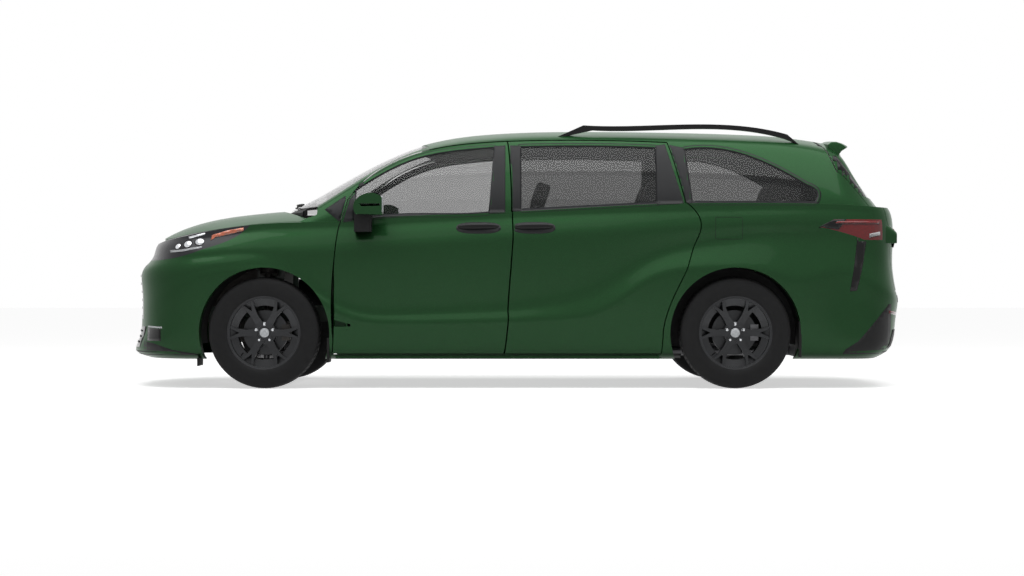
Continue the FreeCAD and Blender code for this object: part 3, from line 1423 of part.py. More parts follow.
def liner_openings(x):
    """Room for the strut and the swing of the door in front, and for the trailing link at the rear."""
    if x > 0:
        half = 2 * upright_half + well_clearance
        return block(x - half, x + half, -side_limit, 0, 0, tyre_radius - 0.8 * hub_radius + well_clearance)
    strut = rod(on_kingpin(spring_low - 2 * overrun), on_kingpin(spring_high + overrun),
                spring_radius + well_clearance)
    door = block(x_at(0.13), 0, -side_limit, -pillar_outer - 2 * well_clearance, 0, roof_height)
    return strut.fuse(door)


def roof_rails(forms):
    """Bars along both edges of the roof, joined to it at their ends."""
    face = Part.Face(drawn(rail_bar_runs, side_place))
    face.translate(V(0, -0.655 * half_width, 0))
    return both_sides(largest(face.extrude(V(0, 0.036 * half_width, 0)).cut(forms.outer)))


def mirror(forms):
    """Left mirror: a rounded cap over a foot that stands on the door skin."""
    face = Part.Face(drawn(mirror_cap_runs, side_place))
    face.translate(V(0, -1.135 * half_width, 0))
    shell = face.extrude(V(0, 0.170 * half_width, 0))
    foot = block(x_at(0.1930), x_at(0.2290), -1.04 * half_width, -0.90 * half_width,
                 0.590 * roof_height, 0.660 * roof_height)
    return largest(fused([shell, foot]).cut(forms.outer).cut(forms.hull))


def main():
    os.makedirs("parts", exist_ok=True)
    nodes = {}
    forms = Forms()
    doors_and_sides(forms, nodes)
    front_end(forms, nodes)
    front_glass_and_cowl(forms, nodes)
    nodes["roof"] = roof(forms)
    tailgate(forms, nodes)
    nodes["rear_bumper"] = rear_bumper(forms)
    nodes["bulkhead"] = bulkhead()
    nodes["roof_rails"] = roof_rails(forms)
    nodes["mirror_left"] = mirror(forms)
    nodes["mirror_right"] = mirrored(nodes["mirror_left"])
    wheels(nodes)
    nodes["knuckle_left"] = knuckle()
    nodes["knuckle_right"] = mirrored(nodes["knuckle_left"])
    nodes["front_suspension"] = front_suspension()
    nodes["front_structure"] = front_structure()
    nodes["rear_suspension"] = rear_suspension()
    nodes["arch_liners"] = arch_liners()
    cabin(nodes)
    nodes["floor"] = floor()
    nodes["engine"] = engine()
    nodes["exhaust"] = exhaust()
    nodes["tow_hitch"] = tow_hitch()
    for name, shape in nodes.items():
        shape.exportStep("parts/" + name + ".step")


main()
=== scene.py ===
import json
import math

import bmesh
import bpy
from mathutils import Matrix, Vector
from mathutils.bvhtree import BVHTree

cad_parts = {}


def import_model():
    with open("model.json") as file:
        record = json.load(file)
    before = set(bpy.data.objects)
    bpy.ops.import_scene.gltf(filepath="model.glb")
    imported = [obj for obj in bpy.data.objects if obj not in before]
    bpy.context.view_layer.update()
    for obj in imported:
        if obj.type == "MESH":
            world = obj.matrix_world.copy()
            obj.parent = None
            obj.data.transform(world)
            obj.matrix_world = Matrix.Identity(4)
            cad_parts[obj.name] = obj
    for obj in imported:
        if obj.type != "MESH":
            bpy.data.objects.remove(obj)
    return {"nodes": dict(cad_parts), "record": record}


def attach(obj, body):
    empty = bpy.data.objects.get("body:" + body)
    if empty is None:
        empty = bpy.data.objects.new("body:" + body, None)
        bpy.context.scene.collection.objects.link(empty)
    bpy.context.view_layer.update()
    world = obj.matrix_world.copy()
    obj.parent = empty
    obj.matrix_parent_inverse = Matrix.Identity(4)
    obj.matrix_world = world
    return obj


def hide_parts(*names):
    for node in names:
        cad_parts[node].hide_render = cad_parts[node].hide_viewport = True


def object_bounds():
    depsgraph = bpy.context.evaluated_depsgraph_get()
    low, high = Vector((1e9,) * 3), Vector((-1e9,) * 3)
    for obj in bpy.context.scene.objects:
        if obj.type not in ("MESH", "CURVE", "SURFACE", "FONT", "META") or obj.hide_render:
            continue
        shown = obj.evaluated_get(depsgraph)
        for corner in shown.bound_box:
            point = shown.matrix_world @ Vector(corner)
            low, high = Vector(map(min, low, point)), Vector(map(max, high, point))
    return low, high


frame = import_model()
nodes = frame["nodes"]
cad_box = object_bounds()

LEFT, RIGHT = -1, 1
SIDES = {LEFT: "left", RIGHT: "right"}

# Places in metres that the CAD source also has
front_axle_x, rear_axle_x = -1.629, 1.431
wheelbase = rear_axle_x - front_axle_x
tyre_radius, track_half = 0.363, 0.852
hub_face = 0.058
bolt_circle = 0.0572

# Camera of the photograph: its place, its focal length in pixels and the middle of the picture
camera_x, camera_y, camera_z = -0.020, -15.800, 0.654
focal_pixels, picture_middle = 2290, (512, 288)
lens_length, sensor_width = 80.5, 36.0

# Where a ray starts outside the part: to the side, along it and above it
beside, beyond, above = 1.6, 4.0, 2.5

# A hit nearer to the middle than this isn't on the outer skin
inner_wall = 0.3

# Distances from the middle at which outlines were read off the photograph
lamp_depth, corner_depth, nose_depth = 0.86, 0.80, 0.70

# A sheet with this setting drops the corners that miss its carrier
no_pull = (0.0,)

# Place along the part and side of each wheel
wheel_bodies = {
    "front_left": (front_axle_x, LEFT), "front_right": (front_axle_x, RIGHT),
    "rear_left": (rear_axle_x, LEFT), "rear_right": (rear_axle_x, RIGHT),
}


def linear(*levels):
    """Scene colour of three levels from 0 to 255."""
    out = []
    for level in levels:
        c = level / 255
        out.append(c / 12.92 if c <= 0.04045 else ((c + 0.055) / 1.055) ** 2.4)
    return (*out, 1.0)


# Materials

def material(name, colour, metallic=0.0, roughness=0.5, **sockets):
    """Principled material with values on its own sockets."""
    m = bpy.data.materials.new(name)
    m.use_nodes = True
    shader = m.node_tree.nodes["Principled BSDF"]
    shader.inputs["Base Color"].default_value = colour
    shader.inputs["Metallic"].default_value = metallic
    shader.inputs["Roughness"].default_value = roughness
    for socket, value in sockets.items():
        shader.inputs[socket.replace("_", " ")].default_value = value
    m.diffuse_color = colour
    return m


def add(m, kind, **values):
    node = m.node_tree.nodes.new(kind)
    for key, value in values.items():
        setattr(node, key, value)
    return node


def wire(m, start, out, end, into):
    m.node_tree.links.new(start.outputs[out], end.inputs[into])


def object_place(m, stretch=(1, 1, 1)):
    """Object coordinates, stretched."""
    coords = add(m, "ShaderNodeTexCoord")
    mapping = add(m, "ShaderNodeMapping")
    mapping.inputs["Scale"].default_value = stretch
    wire(m, coords, "Object", mapping, "Vector")
    return mapping


def noise(m, scale, detail=3.0, rough=0.5, stretch=(1, 1, 1)):
    node = add(m, "ShaderNodeTexNoise")
    node.inputs["Scale"].default_value = scale
    node.inputs["Detail"].default_value = detail
    node.inputs["Roughness"].default_value = rough
    wire(m, object_place(m, stretch), "Vector", node, "Vector")
    return node


def ramp(m, source, out, stops):
    """Colours along a value, from (position, colour) stops."""
    node = add(m, "ShaderNodeValToRGB")
    wire(m, source, out, node, "Fac")
    while len(node.color_ramp.elements) < len(stops):
        node.color_ramp.elements.new(0.5)
    for element, (position, colour) in zip(node.color_ramp.elements, stops):
        element.position = position
        element.color = colour
    return node


def shade(colour, factor):
    return (*[min(1.0, c * factor) for c in colour[:3]], 1.0)


def vary_colour(m, scale, low, high, detail=3.0, stretch=(1, 1, 1)):
    """Uneven base colour between two factors."""
    shader = m.node_tree.nodes["Principled BSDF"]
    colour = tuple(shader.inputs["Base Color"].default_value)
    tint = ramp(m, noise(m, scale, detail, 0.55, stretch), "Fac",
                [(0.3, shade(colour, low)), (0.7, shade(colour, high))])
    wire(m, tint, "Color", shader, "Base Color")


def vary_roughness(m, scale, low, high, detail=3.0, stretch=(1, 1, 1)):
    """Uneven roughness between two levels."""
    shader = m.node_tree.nodes["Principled BSDF"]
    spread = add(m, "ShaderNodeMapRange")
    spread.inputs["To Min"].default_value = low
    spread.inputs["To Max"].default_value = high
    wire(m, noise(m, scale, detail, 0.6, stretch), "Fac", spread, "Value")
    wire(m, spread, "Result", shader, "Roughness")


def bump(m, source, out, strength, distance):
    """Relief in the surface, added to the relief that it already has."""
    shader = m.node_tree.nodes["Principled BSDF"]
    node = add(m, "ShaderNodeBump")
    node.inputs["Strength"].default_value = strength
    node.inputs["Distance"].default_value = distance
    wire(m, source, out, node, "Height")
    before = [x for x in m.node_tree.links if x.to_node == shader and x.to_socket.name == "Normal"]
    if before:
        m.node_tree.links.new(before[0].from_socket, node.inputs["Normal"])
    wire(m, node, "Normal", shader, "Normal")


def paint():
    """Dark green with fine flakes under a thin clear coat."""
    m = material("dark_green_metallic", linear(36, 76, 42), 0.32, 0.36, Coat_Weight=0.16,
                 Coat_Roughness=0.03, Specular_IOR_Level=0.12, IOR=1.3, Specular_Tint=(0.45, 0.62, 0.47, 1.0))
    shader = m.node_tree.nodes["Principled BSDF"]
    flake = add(m, "ShaderNodeTexVoronoi")
    flake.inputs["Scale"].default_value = 900.0
    wire(m, object_place(m), "Vector", flake, "Vector")
    base = tuple(shader.inputs["Base Color"].default_value)
    tint = ramp(m, flake, "Color", [(0.0, shade(base, 0.80)), (0.75, base), (1.0, shade(base, 1.7))])
    wire(m, tint, "Color", shader, "Base Color")
    vary_roughness(m, 5.0, 0.26, 0.34)
    bump(m, noise(m, 160.0, 2.0), "Fac", 0.03, 0.0004)
    return m


def plastic(name, colour, roughness=0.55, grain=0.35, scale=420.0):
    m = material(name, colour, 0.0, roughness, Specular_IOR_Level=0.22)
    vary_colour(m, 7.0, 0.85, 1.18)
    vary_roughness(m, 30.0, roughness - 0.07, roughness + 0.09)
    bump(m, noise(m, scale, 4.0, 0.6), "Fac", grain, 0.0006)
    return m


def metal(name, colour, roughness=0.35, stretch=(1, 1, 1), cast=False):
    m = material(name, colour, 0.9, roughness)
    vary_colour(m, 9.0, 0.78, 1.2, 5.0)
    vary_roughness(m, 60.0, roughness - 0.1, roughness + 0.16, 4.0, stretch)
    grain, strength = (160.0, 0.35) if cast else (700.0, 0.12)
    bump(m, noise(m, grain, 5.0, 0.65, stretch), "Fac", strength, 0.0008)
    return m


def glass(name, cover):
    """Dark pane; each of its surfaces hides the share cover of what lies behind it."""
    m = material(name, (0.012, 0.014, 0.014, 1.0), 0.0, 0.02, IOR=1.45, Alpha=cover)
    vary_roughness(m, 3.0, 0.01, 0.03)
    return m


def cloth(name, colour):
    m = material(name, colour, 0.0, 0.88, Sheen_Weight=0.35, Sheen_Roughness=0.45)
    vary_colour(m, 12.0, 0.82, 1.2)
    weave = add(m, "ShaderNodeTexWave", wave_type="BANDS", bands_direction="DIAGONAL")
    weave.inputs["Scale"].default_value = 190.0
    weave.inputs["Distortion"].default_value = 1.6
    wire(m, object_place(m), "Vector", weave, "Vector")
    bump(m, weave, "Fac", 0.5, 0.0008)
    bump(m, noise(m, 500.0, 2.0), "Fac", 0.3, 0.0005)
    return m


def rim_material():
    m = metal("dark_rim", linear(34, 35, 37), 0.34)
    shader = m.node_tree.nodes["Principled BSDF"]
    shader.inputs["Metallic"].default_value = 0.75
    shader.inputs["Coat Weight"].default_value = 0.25
    shader.inputs["Coat Roughness"].default_value = 0.08
    return m


def structure():
    m = material("body_primer", linear(34, 48, 38), 0.1, 0.5, Coat_Weight=0.2)
    vary_colour(m, 4.0, 0.8, 1.15)
    vary_roughness(m, 20.0, 0.42, 0.6)
    bump(m, noise(m, 240.0, 3.0), "Fac", 0.12, 0.0006)
    return m


mats = {
    "paint": paint(),
    "structure_paint": structure(),
    "glass": glass("clear_green_glass", 0.29),
    "dark_glass": glass("privacy_glass", 0.46),
    "lamp_glass": glass("lamp_lens", 0.08),
    "tail_lens": material("tail_lens", linear(134, 14, 18), 0.0, 0.15, Coat_Weight=0.4,
                          Coat_Roughness=0.03, Specular_IOR_Level=0.2),
    "black_plastic": plastic("black_plastic", linear(17, 17, 18)),
    "gloss_black": plastic("gloss_black", linear(10, 10, 11), 0.16, 0.04, 90.0),
    "tyre": plastic("tyre_rubber", linear(15, 15, 16), 0.68, 0.30, 260.0),
    "rim": rim_material(),
    "steel": metal("machined_steel", linear(92, 92, 94), 0.38),
    "casting": metal("cast_iron", linear(70, 68, 66), 0.55, cast=True),
    "seat_cloth": cloth("seat_cloth", linear(56, 57, 59)),
}
vary_colour(mats["tail_lens"], 40.0, 0.75, 1.35, 2.0, (1, 1, 9))
bump(mats["tail_lens"], noise(mats["tail_lens"], 90.0, 1.0, 0.5, (1, 1, 4)), "Fac", 0.25, 0.001)
pillar_black = plastic("pillar_charcoal", linear(28, 29, 31), 0.42, 0.12, 500.0)
lining = cloth("cabin_lining", linear(26, 26, 28))
seal = plastic("rubber_seal", linear(12, 12, 12), 0.6, 0.1)
chrome = metal("lamp_chrome", linear(205, 207, 210), 0.12)
silver = metal("satin_silver", linear(150, 152, 154), 0.34)
amber = material("amber_lens", linear(214, 96, 40), 0.0, 0.18, Coat_Weight=1.0)
vary_colour(amber, 60.0, 0.8, 1.2, 2.0, (1, 1, 6))
white_lens = material("clear_reverse_lens", linear(196, 196, 198), 0.0, 0.12, Coat_Weight=1.0)
vary_colour(white_lens, 60.0, 0.85, 1.1, 2.0, (1, 1, 8))
plate = plastic("blank_plate", linear(206, 206, 200), 0.42, 0.03)
leather = plastic("wheel_leather", linear(24, 24, 25), 0.5, 0.5, 800.0)
screen_black = material("dark_screen", linear(8, 9, 11), 0.0, 0.08, Coat_Weight=1.0)
vary_roughness(screen_black, 6.0, 0.06, 0.12)

for name, node in nodes.items():
    slot = next(p["material_slot"] for p in frame["record"]["subparts"] if p["node"] == name)
    node.data.materials.clear()
    node.data.materials.append(mats[slot])


def line_cabin(name, inward):
    """Dark lining on the faces of a node that look into the cabin."""
    data = nodes[name].data
    data.materials.append(lining)
    for p in data.polygons:
        if inward(p.normal, p.center):
            p.material_index = 1


def faces_middle(n, c):
    """Whether a face of a side, given by its normal and its centre, looks into the cabin."""
    return n.y * c.y < 0 and abs(n.y) > 0.35 and c.x > -1.15 and abs(c.y) < 0.97


for name in ("front_door_left", "front_door_right", "sliding_doors", "side_frame_left", "side_frame_right"):
    line_cabin(name, faces_middle)
line_cabin("roof", lambda n, c: n.z < -0.4)
line_cabin("tailgate", lambda n, c: n.x < -0.35)


# Makers of pieces

def finish_piece(name, bm, mat, body, smooth=True, bevel=0.0, thick=0.0):
    """Piece of the scene from a mesh, riding on a body; thick gives a sheet its thickness."""
    if not thick:
        bmesh.ops.recalc_face_normals(bm, faces=bm.faces)
    data = bpy.data.meshes.new(name)
    bm.to_mesh(data)
    bm.free()
    o = bpy.data.objects.new(name, data)
    bpy.context.scene.collection.objects.link(o)
    data.materials.append(mat)
    data.polygons.foreach_set("use_smooth", [smooth] * len(data.polygons))
    if thick:
        shell = o.modifiers.new("thickness", "SOLIDIFY")
        shell.thickness = thick
        shell.offset = -1.0
    if bevel:
        edge = o.modifiers.new("rounded", "BEVEL")
        edge.width = bevel
        edge.segments = 2
        edge.limit_method = "ANGLE"
        edge.angle_limit = math.radians(35)
    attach(o, body)
    return o


trees = {}


def tree(*names):
    """Surfaces of some nodes, for casting rays on them."""
    if names not in trees:
        verts, faces = [], []
        for name in names:
            data = nodes[name].data
            base = len(verts)
            verts += [v.co.copy() for v in data.vertices]
            faces += [[base + i for i in p.vertices] for p in data.polygons]
        trees[names] = BVHTree.FromPolygons(verts, faces)
    return trees[names]


def skin_y(carrier, x, z, side):
    """Outermost surface of a node at a place of the side view."""
    hit = tree(*carrier).ray_cast(Vector((x, side * beside, z)), Vector((0, -side, 0)))
    return hit[0].y if hit[0] is not None else None


def at(px, py, depth):
    """Place in the side view of a point of the photograph, at a distance from the middle plane."""
    reach = (-camera_y - depth) / focal_pixels
    return (camera_x + (px - picture_middle[0]) * reach, camera_z + (picture_middle[1] - py) * reach)


def flat_sheet(outline, step):
    """Flat face with an outline, cut into cells of at most one step."""
    bm = bmesh.new()
    bm.faces.new([bm.verts.new((x, 0, z)) for x, z in outline])
    for which, axis in enumerate((0, 2)):
        low = min(p[which] for p in outline)
        high = max(p[which] for p in outline)
        count = int((high - low) / step)
        for i in range(1, count + 1):
            level = low + i * (high - low) / (count + 1)
            where, normal = [0, 0, 0], [0, 0, 0]
            where[axis], normal[axis] = level, 1
            geometry = bm.verts[:] + bm.edges[:] + bm.faces[:]
            bmesh.ops.bisect_plane(bm, geom=geometry, plane_co=where, plane_no=normal)
    return bm


def face_outwards(bm, axis, sign):
    """Turns all faces to one side along an axis."""
    for f in bm.faces:
        f.normal_update()
        if f.normal[axis] * sign < 0:
            f.normal_flip()


def within(value, axis):
    """Value held inside the box of the CAD part."""
    return min(max(value, cad_box[0][axis]), cad_box[1][axis])


def skin_sheet(name, outline, carrier, mat, body, side, proud=0.002, thick=0.004, step=0.03, *,
               pulls=(0.0, 0.02, 0.05, 0.1, 0.2)):
    """Thin piece on the surface of the nodes that carry it, drawn by its outline in the side view.

    A corner that finds no outer surface takes its depth from a place pulled towards the middle.
    """
    bm = flat_sheet(outline, step)
    middle = [sum(p[i] for p in outline) / len(outline) for i in (0, 1)]
    lost = []
    for v in bm.verts:
        y = None
        for pull in pulls:
            x = v.co.x + pull * (middle[0] - v.co.x)
            z = v.co.z + pull * (middle[1] - v.co.z)
            y = skin_y(carrier, x, z, side)
            if y is not None and abs(y) > inner_wall:
                break
        if y is None:
            lost.append(v)
            continue
        v.co.y = side * min(abs(y) + proud, cad_box[1][1])
        v.co.x = within(v.co.x, 0)
    bmesh.ops.delete(bm, geom=lost, context="VERTS")
    face_outwards(bm, 1, side)
    finish_piece(name, bm, mat, body, thick=thick)


def outer_loops(name, side):
    """Edges of the panes of a node on one side of the car, as closed rows of points."""
    data = nodes[name].data
    edges = {}
    for p in data.polygons:
        steep = p.normal.y * side < 0.2
        if steep or data.vertices[p.vertices[0]].co.y * side < 0:
            continue
        keys = [tuple(round(c, 4) for c in data.vertices[i].co) for i in p.vertices]
        for a, b in zip(keys, keys[1:] + keys[:1]):
            if a == b:
                continue
            if (b, a) in edges:
                del edges[(b, a)]
            else:
                edges[(a, b)] = True
    following = {a: b for a, b in edges}
    loops = []
    while following:
        start = next(iter(following))
        row, here = [], start
        while here in following:
            row.append(here)
            here = following.pop(here)
        if len(row) > 8:
            loops.append(row)
    return loops


def resample(loop, step):
    """Evenly spaced points along a closed row, seen from the side."""
    points = [Vector((p[0], 0, p[2])) for p in loop]
    lengths = [(b - a).length for a, b in zip(points, points[1:] + points[:1])]
    total = sum(lengths)
    count = max(12, int(total / step))
    out, walked, i = [], 0.0, 0
    for k in range(count):
        goal = total * k / count
        while walked + lengths[i] < goal:
            walked += lengths[i]
            i += 1
        share = (goal - walked) / max(lengths[i], 1e-9)
        out.append(points[i].lerp(points[(i + 1) % len(points)], share))
    return out


def ring_strip(name, loop, carrier, inner, outer, mat, body, side, slot, proud=0.0015, thick=0.004,
               step=0.02):
    """Frame round a pane, from one distance inside its edge to another outside it."""
    least_reach, usual_reach = 0.4, 0.8
    row = resample(loop, step)
    n = len(row)
    middle = sum(row, Vector()) / n
    bm = bmesh.new()
    rings = [[], []]
    for k, p in enumerate(row):
        along = (row[(k + 1) % n] - row[k - 1]).normalized()
        out = Vector((along.z, 0, -along.x))
        if out.dot(p - middle) < 0:
            out = -out
        for ring, reach in zip(rings, (-inner, outer)):
            q = p + out * reach
            y = skin_y(carrier, q.x, q.z, side)
            if y is None or abs(y) < least_reach:
                y = skin_y(carrier, p.x, p.z, side) or side * usual_reach
            ring.append(bm.verts.new((q.x, y + side * proud, q.z)))
    for k in range(n):
        bm.faces.new([rings[0][k], rings[0][(k + 1) % n], rings[1][(k + 1) % n], rings[1][k]])
    face_outwards(bm, 1, side)
    finish_piece(name, bm, mat, body, thick=thick)


def box_piece(name, low, high, mat, body, bevel, turn=None):
    """Block with rounded edges, turned about its middle where a turn is given."""
    bm = bmesh.new()
    bmesh.ops.create_cube(bm, size=1.0)
    low, high = Vector(low), Vector(high)
    for v in bm.verts:
        v.co = Vector((low[i] + (v.co[i] + 0.5) * (high[i] - low[i]) for i in range(3)))
    bmesh.ops.bevel(bm, geom=bm.edges[:], offset=bevel, segments=3, profile=0.5, affect="EDGES")
    if turn is not None:
        pivot = (low + high) / 2
        about = Matrix.Translation(pivot) @ turn @ Matrix.Translation(-pivot)
        bmesh.ops.transform(bm, verts=bm.verts, matrix=about)
    finish_piece(name, bm, mat, body)


def join_rows(bm, rows, ring):
    """Faces between rows of points set round an axis; a ring joins each row's last point to its first."""
    n = len(rows[0])
    for k, row in enumerate(rows):
        following = rows[(k + 1) % len(rows)]
        for i in range(n if ring else n - 1):
            j = (i + 1) % n
            bm.faces.new([row[i], row[j], following[j], following[i]])


def turned(name, profile, centre, side, mat, body, segments=48, smooth=True, ring=False):
    """Solid turned about a wheel's axis from (outwards, radius) points."""
    bm = bmesh.new()
    rows = []
    for k in range(segments):
        a = 2 * math.pi * k / segments
        across, up = math.cos(a), math.sin(a)
        rows.append([bm.verts.new((centre[0] + r * across, centre[1] + side * y, centre[2] + r * up))
                     for y, r in profile])
    join_rows(bm, rows, ring)
    bmesh.ops.remove_doubles(bm, verts=bm.verts, dist=1e-6)
    if not ring:
        bmesh.ops.holes_fill(bm, edges=bm.edges, sides=segments + 2)
    finish_piece(name, bm, mat, body, smooth=smooth)


def tube(name, points, radius, mat, body):
    """Round rod along a row of points."""
    curve = bpy.data.curves.new(name, "CURVE")
    curve.dimensions = "3D"
    curve.bevel_depth = radius
    curve.bevel_resolution = 3
    curve.use_fill_caps = True
    line = curve.splines.new("NURBS")
    line.points.add(len(points) - 1)
    for p, q in zip(line.points, points):
        p.co = (*q, 1.0)
    line.order_u = 3
    line.use_endpoint_u = True
    curve.materials.append(mat)
    o = bpy.data.objects.new(name, curve)
    bpy.context.scene.collection.objects.link(o)
    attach(o, body)


# Wheels

# Tread: sizes in metres, then cuts round the tyre, strips across it and steps round it
tread_half, tread_crown, tread_depth = 0.0775, 0.0042, 0.0065
tread_blocks, tread_rows, tyre_segments = 66, 44, 264
nut_count = 5


def tread_groove(across, turn):
    """Depth share of the tread pattern at a share of the half width and a share of a turn."""
    for middle in (0.0, 0.42, -0.42):
        if abs(across - middle) < 0.035:
            return 1.0
    pitch = (turn * tread_blocks + 0.9 * abs(across)) % 1.0
    if abs(across) > 0.48 and pitch < 0.26:
        return 0.8
    if 0.08 < abs(across) < 0.36 and (pitch + 0.5) % 1.0 < 0.14:
        return 0.5
    return 0.0


def tyre(place, x, side):
    """Tyre with rounded side walls, three long grooves and cross cuts."""
    centre = Vector((x, side * track_half, tyre_radius))
    section = [(-0.090, 0.2315), (-0.101, 0.236), (-0.1125, 0.252), (-0.1165, 0.270), (-0.1170, 0.2865),
               (-0.1155, 0.290), (-0.1160, 0.304), (-0.1115, 0.325), (-0.1070, 0.339), (-0.0985, 0.3515),
               (-0.0885, 0.3565)]
    tread = [-tread_half + i * 2 * tread_half / tread_rows for i in range(tread_rows + 1)]
    full = section + [(t, None) for t in tread] + [(-y, r) for y, r in reversed(section)]
    bm = bmesh.new()
    rows = []
    for k in range(tyre_segments):
        turn = k / tyre_segments
        a = 2 * math.pi * turn
        row = []
        for y, r in full:
            if r is None:
                share = y / tread_half
                r = tyre_radius - tread_crown * share * share - tread_depth * tread_groove(share, turn)
            row.append(bm.verts.new((centre.x + r * math.cos(a), centre.y + y, centre.z + r * math.sin(a))))
        rows.append(row)
    join_rows(bm, rows, True)
    o = finish_piece("tread_" + place, bm, mats["tyre"], place + "_wheel")
    sharp = o.modifiers.new("edges", "WEIGHTED_NORMAL")
    sharp.keep_sharp = True
    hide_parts("tyre_" + place)


def wheel_trim(place, x, side):
    """Centre cap, nuts, lip and valve of one wheel."""
    centre = (x, side * track_half, tyre_radius)
    body = place + "_wheel"
    turned("centre_cap_" + place, [
        (hub_face - 0.004, 0.0315), (hub_face + 0.010, 0.0315), (hub_face + 0.013, 0.029),
        (hub_face + 0.0135, 0.023), (hub_face + 0.0115, 0.021), (hub_face + 0.0125, 0.012),
        (hub_face + 0.013, 0.0),
    ], centre, side, silver, body)
    for i in range(nut_count):
        a = math.radians(90 + 360 / nut_count * i)
        spot = (x + bolt_circle * math.cos(a), centre[1], tyre_radius + bolt_circle * math.sin(a))
        turned(f"wheel_nut_{place}_{i}", [
            (hub_face - 0.003, 0.0125), (hub_face + 0.003, 0.0125), (hub_face + 0.003, 0.0098),
            (hub_face + 0.019, 0.0095), (hub_face + 0.022, 0.0075), (hub_face + 0.022, 0.0),
        ], spot, side, chrome, body, segments=6, smooth=False)
    turned("rim_edge_" + place, [
        (0.1003, 0.2330), (0.1025, 0.2345), (0.1030, 0.2385), (0.1015, 0.2412), (0.0985, 0.2412),
        (0.0985, 0.2330),
    ], centre, side, mats["rim"], body, segments=96, ring=True)
    tube("valve_" + place, [
        (x - 0.150, centre[1] + side * 0.060, tyre_radius - 0.145),
        (x - 0.140, centre[1] + side * 0.080, tyre_radius - 0.135),
        (x - 0.133, centre[1] + side * 0.094, tyre_radius - 0.128),
    ], 0.0035, seal, body)


for place, (x, side) in wheel_bodies.items():
    tyre(place, x, side)
    wheel_trim(place, x, side)


# Window frames and pillars

frame_edges = {"door": (0.010, 0.016), "side": (0.012, 0.015)}
for side, word in SIDES.items():
    door, slide, shell = "front_door_" + word, "sliding_doors", "side_frame_" + word
    door_panes = (door, "front_door_glass_" + word)
    slide_panes, rear_panes = (slide, "side_glasses"), (shell, "side_glasses")
    for i, loop in enumerate(outer_loops("front_door_glass_" + word, side)):
        ring_strip(f"door_window_frame_{word}_{i}", loop, door_panes, *frame_edges["door"], pillar_black,
                   word + "_door", side, "gloss_black")
    for i, loop in enumerate(outer_loops("side_glasses", side)):
        ring_strip(f"side_window_frame_{word}_{i}", loop, (slide, shell, "side_glasses"),
                   *frame_edges["side"], pillar_black, "body", side, "gloss_black")
    corner = [at(*p) for p in ((324.5, 209.4, 0.90), (345.4, 195.6, 0.88), (345.6, 200.0, 0.88),
                               (342.4, 211.0, 0.90), (339.6, 221.6, 0.90))]
    for name, outline, carrier, body, step in (
            ("door_pillar_trim_", [(-0.139, 1.586), (-0.0635, 1.592), (-0.0635, 1.142), (-0.172, 1.140)],
             door_panes, word + "_door", 0.015),
            ("door_front_trim_", [(-1.118, 1.082), (-1.079, 1.228), (-1.036, 1.284), (-1.036, 1.092)],
             door_panes, word + "_door", 0.03),
            ("slide_front_trim_", [(-0.0435, 1.592), (0.040, 1.589), (0.040, 1.153), (-0.0435, 1.148)],
             slide_panes, "body", 0.015),
            ("slide_rear_trim_", [(0.922, 1.588), (0.984, 1.600), (1.099, 1.205), (0.922, 1.196)],
             slide_panes, "body", 0.015),
            ("rear_pillar_trim_", [(1.002, 1.598), (1.112, 1.574), (1.156, 1.206), (1.118, 1.203)],
             rear_panes, "body", 0.015),
            ("corner_patch_", corner, (shell, "front_fenders"), "body", 0.03)):
        skin_sheet(name + word, outline, carrier, pillar_black, body, side, 0.0025,
                   step=step)


def skin_line(name, points, carrier, mat, body, side, radius):
    """Thin round line laid on the surface of the nodes that carry it."""
    parts = 6
    row = []
    for a, b in zip(points, points[1:]):
        for k in range(parts):
            row.append((a[0] + (b[0] - a[0]) * k / parts, a[1] + (b[1] - a[1]) * k / parts))
    row.append(points[-1])
    where = [(x, skin_y(carrier, x, z, side), z) for x, z in row]
    tube(name, [p for p in where if p[1] is not None], radius, mat, body)


def end_sheet(name, outline, carrier, mat, body, end, proud=0.002, thick=0.004, step=0.04, *, slot):
    """Thin piece on the front (end -1) or the back (end 1), drawn by points across and up."""
    bm = flat_sheet(outline, step)
    lost = []
    for v in bm.verts:
        y, z = v.co.x, v.co.z
        hit = tree(*carrier).ray_cast(Vector((end * beyond, y, z)), Vector((-end, 0, 0)))
        if hit[0] is None:
            lost.append(v)
            continue
        v.co = Vector((within(hit[0].x + end * proud, 0), y, z))
    bmesh.ops.delete(bm, geom=lost, context="VERTS")
    face_outwards(bm, 0, end)
    finish_piece(name, bm, mat, body, thick=thick)


def projector(name, x, z, side, radius):
    """Bright round lens standing square on a headlamp, with a black ring round it."""
    sink, flat, ring_segments = 0.004, 0.45, 40
    hit = tree("headlamps").ray_cast(Vector((x, side * beside, z)), Vector((0, -side, 0)))
    if hit[0] is None:
        return
    out = hit[1] if hit[1].y * side > 0 else -hit[1]
    turn = out.to_track_quat("Z", "Y").to_matrix().to_4x4()
    spot = Matrix.Translation(hit[0] - out * sink) @ turn
    bm = bmesh.new()
    bmesh.ops.create_uvsphere(bm, u_segments=32, v_segments=16, radius=radius)
    bmesh.ops.scale(bm, verts=bm.verts, vec=(1, 1, flat))
    bmesh.ops.transform(bm, verts=bm.verts, matrix=spot)
    finish_piece(name, bm, chrome, "body")
    bm = bmesh.new()
    rows = []
    for k in range(ring_segments):
        a = 2 * math.pi * k / ring_segments
        rows.append([bm.verts.new((r * math.cos(a), r * math.sin(a), h)) for r, h in (
            (radius, -0.004), (radius * 1.02, 0.004), (radius * 1.12, 0.006), (radius * 1.22, 0.003),
            (radius * 1.22, -0.006))])
    join_rows(bm, rows, True)
    bmesh.ops.transform(bm, verts=bm.verts, matrix=spot)
    finish_piece(name + "_ring", bm, mats["gloss_black"], "body")


